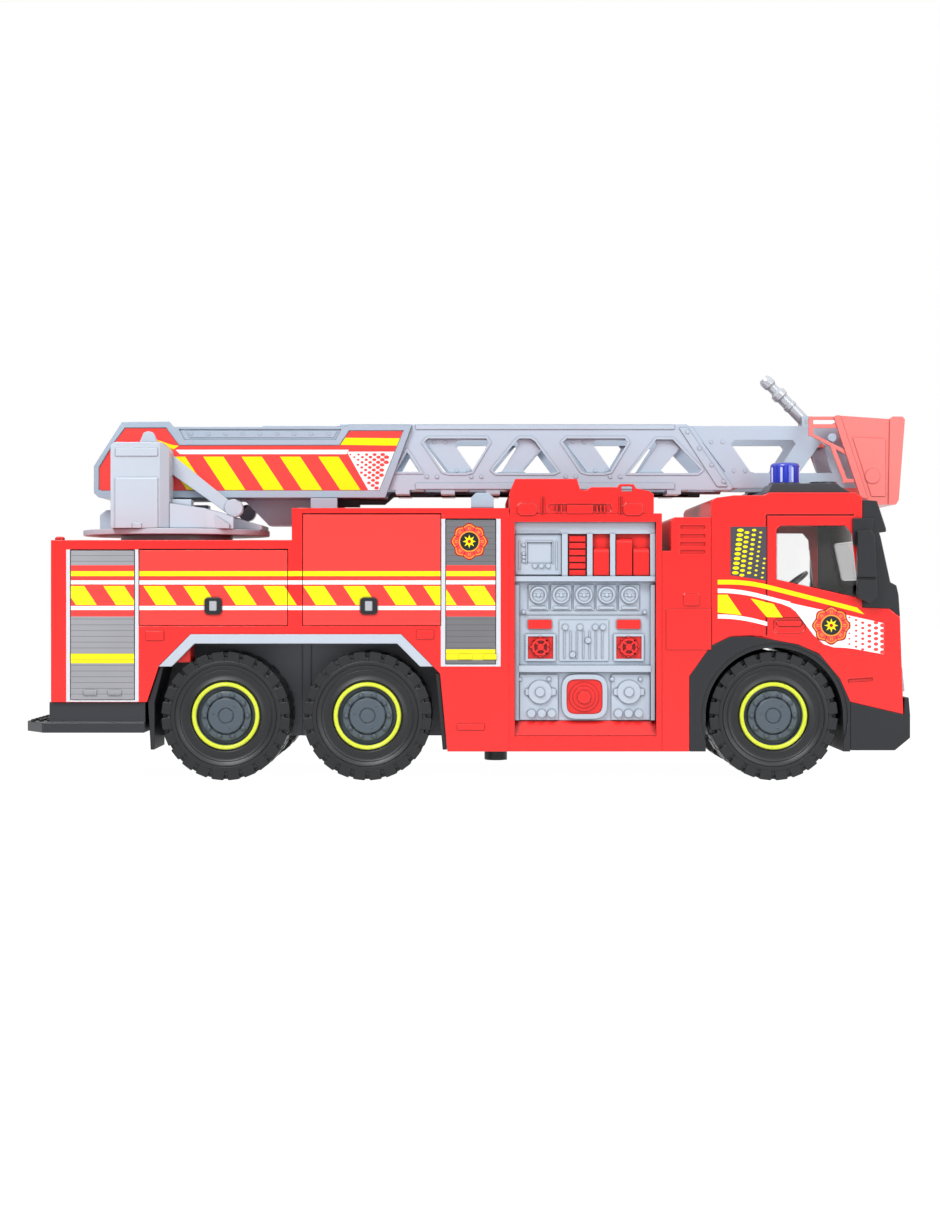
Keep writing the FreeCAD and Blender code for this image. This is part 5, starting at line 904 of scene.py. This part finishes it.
# The wheel is made once, on an axle at x = 0. The second number of each place in its outlines is
# the way inwards from the outer face.
wall = [(24.2, 3.4), (24.3, 1.6), (25.2, 0.9), (27.5, 1.9), (30.2, 2.3), (31.6, 1.5), (32.0, 1.9),
        (34.0, 0.7), (35.0, 0.5), (35.3, 1.0), (35.7, 0.5), (37.4, 0.3), (38.2, 0.6), (38.6, 1.4),
        (40.6, 1.7), (41.2, 2.4), (41.5, 4.4), (44.2, 5.0)]
TYRE_WIDTH = 42.0
tyre_profile = wall + [(radius, TYRE_WIDTH - way) for radius, way in reversed(wall)]
tyre_body = cast("tyre_body", turned(tyre_profile, wheel_face, ACROSS, 72), sharp=50)
LUGS, LUG_INSET, LUG_END = 24, 0.7, 19
lug_outline = [(-4.3, 38.0), (-4.2, 44.3), (-3.8, 44.7), (3.8, 44.7), (4.2, 44.3), (4.3, 38.0)]
wheel_inner = WHEEL_OUTER + TYRE_WIDTH
lug = cast("lug", carved(lug_outline, WHEEL_OUTER + LUG_INSET, WHEEL_OUTER + LUG_END, 0.5))
inner_lug = cast("inner_lug", carved(lug_outline, wheel_inner - LUG_END, wheel_inner - LUG_INSET, 0.5))
centre = (0, 0, WHEEL_RADIUS * MM)
outer_lugs = repeated(about_an_axle, lug, tyre_pvc, LUGS, Centre=centre, Phase=math.pi / LUGS)
inner_lugs = repeated(about_an_axle, inner_lug, tyre_pvc, LUGS, Centre=centre, Phase=0.0)
tyre = cast("tyre", tyre_body, outer_lugs, inner_lugs, sharp=40)

hub_profile = [(0, 2.3), (4.6, 2.3), (4.9, 2.8), (5.4, 2.8), (5.8, 2.2), (11.6, 2.0), (12.3, 2.6),
               (12.5, 4.0), (13.0, 4.2), (13.4, 3.5), (16.6, 3.6), (17.4, 4.2), (17.6, 8.0), (20.2, 8.0),
               (20.4, 3.2), (25.9, 3.2), (25.9, 40), (23.0, 40), (23.0, 11), (7, 11), (7, 40), (0, 40)]
hub_body = turned(hub_profile, wheel_face, ACROSS, 64)
NUT_COUNT, NUT_CIRCLE, PIMPLE_COUNT, PIMPLE_CIRCLE = 10, 14.9, 3, 9.0
nut_profile = [(0, 1.7), (0.7, 1.7), (1.0, 2.0), (1.0, 2.3), (1.5, 2.4), (1.75, 2.8), (1.75, 4.6), (0, 4.6)]
nut = cast("nut", turned(nut_profile, (0, WHEEL_OUTER, NUT_CIRCLE), ACROSS, 12))
nuts = repeated(about_an_axle, nut, hub_abs, NUT_COUNT, Centre=centre, Phase=math.radians(18))
pimple_profile = [(0, 1.5), (0.5, 1.6), (0.8, 2.4), (0, 2.4)]
pimple = cast("pimple", turned(pimple_profile, (0, WHEEL_OUTER, PIMPLE_CIRCLE), ACROSS, 8))
pimples = repeated(about_an_axle, pimple, hub_abs, PIMPLE_COUNT, Centre=centre, Phase=0.7)
hub = cast("hub", hub_body, nuts, pimples, sharp=40)
ring_profile = [(20.6, 4.2), (20.6, 1.3), (21.0, 0.5), (21.7, 0.15), (22.1, 0.35), (22.5, 0.15),
                (23.1, 0.5), (23.5, 1.3), (23.5, 4.2)]
ring = cast("ring", turned(ring_profile, wheel_face, ACROSS, 72), sharp=50)
wheel_forms = (("tyres", tyre, tyre_pvc), ("hubs", hub, hub_abs), ("rings", ring, ring_abs))
for name in ("rear", "mid", "front"):
    low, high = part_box(f"{name}_tyres")
    to_axle = Matrix.Translation(((low.x + high.x) / 2, 0, 0))
    wear(nodes[f"{name}_axle"], steel)
    for kind, form, finish in wheel_forms:
        mesh = cast(f"{name}_{kind}_moulding", form, mirror=True, sharp=40)
        mesh.transform(to_axle)
        node = f"{name}_{kind}" if kind != "rings" else f"{name}_hubs"
        piece = settle(mesh.name, mesh, node, finish)
        if kind != "rings":
            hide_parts(node)

# ---------------------------------------------------------------- turntable
# A round plate of grey ABS with two towers that hold the boom's trunnions. It turns on a pin in
# the deck, and a thin skirt is moulded at the foot of each tower.

# grey ABS, a little paler than the ladder's, with the same soft gloss
tower_abs = moulded("grey_abs_tower", "#c0c9d6", 0.26, edge=0.4)
soften("turntable_base", 0.5, tower_abs)
soften("turntable_towers", 0.5, tower_abs)
skirt_outline = [(-212.8, 176), (-212.8, 194), (-188, 190.5), (-176, 187.6), (-168.5, 184.5), (-168.5, 176),
                 (-186, 176)]
skirt = carved(skirt_outline, -60, -47.2, 0.4)
# towards its front end the skirt is narrower
for vertex in skirt.verts:
    if vertex.co.x > -180 * MM:
        vertex.co.y = max(vertex.co.y, -50.5 * MM)
settle("turntable_skirts", cast("turntable_skirts", skirt, mirror=True), "turntable_towers", tower_abs)

# ---------------------------------------------------------------- boom and ladders
# Grey ABS mouldings, with a black hose strip under the outer ladder and a raised rim round each
# window of its side plates. The boom's recessed sides carry printed foil: red with a yellow and
# a white line, slanted yellow bars, and a white end with red dots.

dressed("boom", grey_abs)
ladder_abs = moulded("grey_abs_ladder", "#bac9d9", 0.26, edge=0.3)
dressed("outer_ladder", ladder_abs)
dressed("inner_ladder", ladder_abs)
LADDER_FACE, WINDOW_TOP, LATTICE_PITCH = -33.4, 241.7, 100.0
WINDOW_DOWN = ((3, 0), (45, 0), (47, -3), (34.5, -23.7), (30, -24.9), (18, -24.9), (14, -23.7), (0, -3))
WINDOW_UP = ((66.5, -2), (69, 0), (77, 0), (80, -2), (96, -23.7), (93.5, -24.9), (52, -24.9), (49.5, -22.7))
WINDOW_FIRST = ((-12.1, -9.5), (-2.6, -24.0), (-20.1, -24.0))
WINDOW_LAST = ((167.5, -0.7), (179.5, -0.7), (200.1, -22.5), (197.5, -24.9), (148.5, -24.9))
LATTICE_START, RIM_WIDTH, RIM_HEIGHT = -33.3, 1.5, 0.5
windows = ((0, WINDOW_FIRST), (0, WINDOW_DOWN), (0, WINDOW_UP), (LATTICE_PITCH, WINDOW_DOWN),
           (0, WINDOW_LAST))
ladder_rims = []
for shift, window in windows:
    outline = [(LATTICE_START + shift + along, WINDOW_TOP + drop) for along, drop in window]
    ladder_rims.append(rim(outline, RIM_WIDTH, LADDER_FACE - RIM_HEIGHT, LADDER_FACE + 0.6))
rims_mesh = cast("outer_ladder_rims", *ladder_rims, mirror=True)
settle("outer_ladder_rims", rims_mesh, "outer_ladder", ladder_abs)
soften("water_hose", 0.4, black_abs)
BOOM_FOIL_FACE = -36.2
field = [(-266.6, 205.0), (-266.6, 220.3), (-255.8, 238.5), (-248.0, 248.9), (-218.8, 248.9),
         (-209.2, 236.4), (-93.8, 236.4), (-86.7, 246.9), (-48.3, 246.9), (-65.4, 204.1), (-264.3, 204.1)]


def edge_at(z, high, low):
    """Where the straight edge between two corners (x, z) stands at a height."""
    return high[0] + (low[0] - high[0]) * (high[1] - z) / (high[1] - low[1])


def front_edge(z):
    """The front edge of the boom's foil at a height."""
    return edge_at(z, (-48.3, 246.9), (-65.4, 204.1))


boom_patches = [
    ("red", 1, field),
    ("yellow", 2, [(-89.8, 242.0), (-93.4, 236.9), (front_edge(236.4), 236.4), (front_edge(241.6), 241.6)]),
    ("white", 2, [(-211.8, 233.4), (-208.6, 230.2), (-89.0, 230.2), (-88.4, 230.8), (-87.2, 233.4)]),
    ("white", 2, [(-88.7, 232.0), (-73.2, 204.3), (front_edge(204.3), 204.3), (front_edge(232.0), 232.0)]),
]
BAR_COUNT, BAR_WIDTH, BAR_PITCH, BAR_LEAN = 6, 14.6, 27.6, 0.66
BAR_LOW, BAR_HIGH, FIELD_REAR = 204.4, 228.4, -266.3
bar_shift = (BAR_HIGH - BAR_LOW) * BAR_LEAN
for i in range(BAR_COUNT):
    start = -109.1 - BAR_PITCH * i
    bar = [(start, BAR_HIGH), (start + bar_shift, BAR_LOW), (start + BAR_WIDTH + bar_shift, BAR_LOW),
           (start + BAR_WIDTH, BAR_HIGH)]
    boom_patches.append(("yellow", 2, [(max(x, FIELD_REAR), z) for x, z in bar]))
boom_patches.append(("yellow", 2, [(-226.5, 241.0), (-214.5, 236.9), (-209.6, 236.2), (-213.4, 233.6),
                                   (-222.0, 238.0)]))
CLEAR_EDGE = 0.6


def on_white_end(x, z, half_x, half_z):
    """Whether a dot lies whole on the boom's white end."""
    rear = edge_at(z, (-88.7, 232.0), (-73.2, 204.3)) + CLEAR_EDGE
    return x - half_x > rear and x + half_x < front_edge(z) - CLEAR_EDGE and 205.0 < z < 231.4


boom_patches += dots("red", 3, rear=-89.0, front=-52.0, low=204.0, high=232.0, pitch_x=2.9, pitch_z=3.7,
                     lean=0.06, small=(0.7, 0.6), large=(2.3, 1.55), inside=on_white_end)
print_foil("boom_foil", "boom", boom_patches, BOOM_FOIL_FACE)

# ---------------------------------------------------------------- basket and nozzle
# The basket is moulded in a lighter, slightly translucent salmon ABS, and a grey cap covers each
# end of its hinge. The nozzle is ABS under a silver lacquer and turns on a pin of its own.

# salmon ABS: light enters it a little way, so that it looks softer and paler than the red
salmon_abs = moulded("salmon_abs", "#fc827d", 0.26,
                     **{"Subsurface Weight": 0.08, "Subsurface Scale": 4 * MM})
dressed("basket", salmon_abs)
HINGE_END = (259.7, -41, 241.6)
hinge_cap = turned([(0, -1.3), (2.6, -1.3), (3.3, -0.6), (3.3, 0.4), (0, 0.4)], HINGE_END, ACROSS, 24)
settle("basket_hinge_caps", cast("basket_hinge_caps", hinge_cap, mirror=True), "basket", grey_abs)
dressed("nozzle", silver_abs)

# ---------------------------------------------------------------- studio
# A pale floor and an even white sky, a large soft lamp and a low fill, and the camera level with
# the middle of the body. The floor shows almost white and still takes the toy's shadow.

floor_mesh = bpy.data.meshes.new("floor")
FLOOR_REACH = 6.0
floor_mesh.from_pydata([(-FLOOR_REACH, -FLOOR_REACH, 0), (FLOOR_REACH, -FLOOR_REACH, 0),
                        (FLOOR_REACH, FLOOR_REACH, 0), (-FLOOR_REACH, FLOOR_REACH, 0)], [], [(0, 1, 2, 3)])
floor = in_scene("floor", floor_mesh)


def seen_rays(tree):
    """1 on the rays that a viewer, a gloss or a clear pane sees directly."""
    ray = add(tree, "ShaderNodeLightPath").outputs
    seen = calc(tree, "MAXIMUM", ray["Is Camera Ray"], ray["Is Glossy Ray"])
    return calc(tree, "MAXIMUM", seen, ray["Is Transmission Ray"])


FLOOR_GLOW, GLOW_STRENGTH = 0.82, 1.2  # the share of its look that glows, and how brightly
paint = bpy.data.materials.new("white_studio_paint")
tree = cleared_tree(paint)
matt = add(tree, "ShaderNodeBsdfDiffuse", {"Color": linear("#f2f2f3")})
glow = add(tree, "ShaderNodeEmission", {"Color": (1, 1, 1, 1), "Strength": GLOW_STRENGTH})
share = calc(tree, "MULTIPLY", seen_rays(tree), FLOOR_GLOW)
mixed = add(tree, "ShaderNodeMixShader", {0: share, 1: matt.outputs[0], 2: glow.outputs[0]})
add(tree, "ShaderNodeOutputMaterial", {"Surface": mixed.outputs[0]})
wear(floor, paint)

world = bpy.data.worlds.new("studio")
bpy.context.scene.world = world
tree = cleared_tree(world)
# plain light by itself, white where it is seen, and brighter overhead in gloss reflections
PLAIN_LIGHT, SEEN_LIGHT, LOW_REFLECTION, HIGH_REFLECTION = 0.5, 1.0, 0.3, 1.5
direction = add(tree, "ShaderNodeTexCoord").outputs["Generated"]
upward = add(tree, "ShaderNodeSeparateXYZ", {0: direction}).outputs[2]
mirrored = ranged(tree, upward, LOW_REFLECTION, HIGH_REFLECTION, from_low=0.1, from_high=0.6)
ray_kinds = add(tree, "ShaderNodeLightPath").outputs
reflected = calc(tree, "GREATER_THAN", ray_kinds["Is Glossy Ray"], ray_kinds["Is Transmission Ray"])
plain = ranged(tree, seen_rays(tree), PLAIN_LIGHT, SEEN_LIGHT)
strength = add(tree, "ShaderNodeMix", {0: reflected, 2: plain, 3: mirrored}).outputs[0]
sky = add(tree, "ShaderNodeBackground", {"Color": (1, 1, 1, 1), "Strength": strength})
add(tree, "ShaderNodeOutputWorld", {"Surface": sky.outputs["Background"]})

LAMPS = (  # name, place, size, watts
    ("key", (-0.8, -1.5, 1.8), 0.9, 38),
    ("fill", (1.3, -1.5, 0.7), 1.0, 12),
)
LIT_PLACE = (0, 0, 0.12)
for name, place, size, watts in LAMPS:
    lamp = in_scene(name, bpy.data.lights.new(name, "AREA"))
    lamp.data.size = size
    lamp.data.energy = watts
    lamp.location = place
    aim = Vector(LIT_PLACE) - lamp.location
    lamp.rotation_euler = aim.to_track_quat("-Z", "Y").to_euler()

CAMERA_AWAY, CAMERA_HEIGHT = 1.459, 0.1289
camera = in_scene("camera", bpy.data.cameras.new("camera"))
camera.location = (0, -CAMERA_AWAY, CAMERA_HEIGHT)
camera.rotation_euler = (math.radians(90), 0, 0)
camera.data.sensor_width = 36
camera.data.lens = 58.6
camera.data.shift_y = -0.0103
bpy.context.scene.camera = camera
bpy.context.scene.view_settings.view_transform = "Standard"
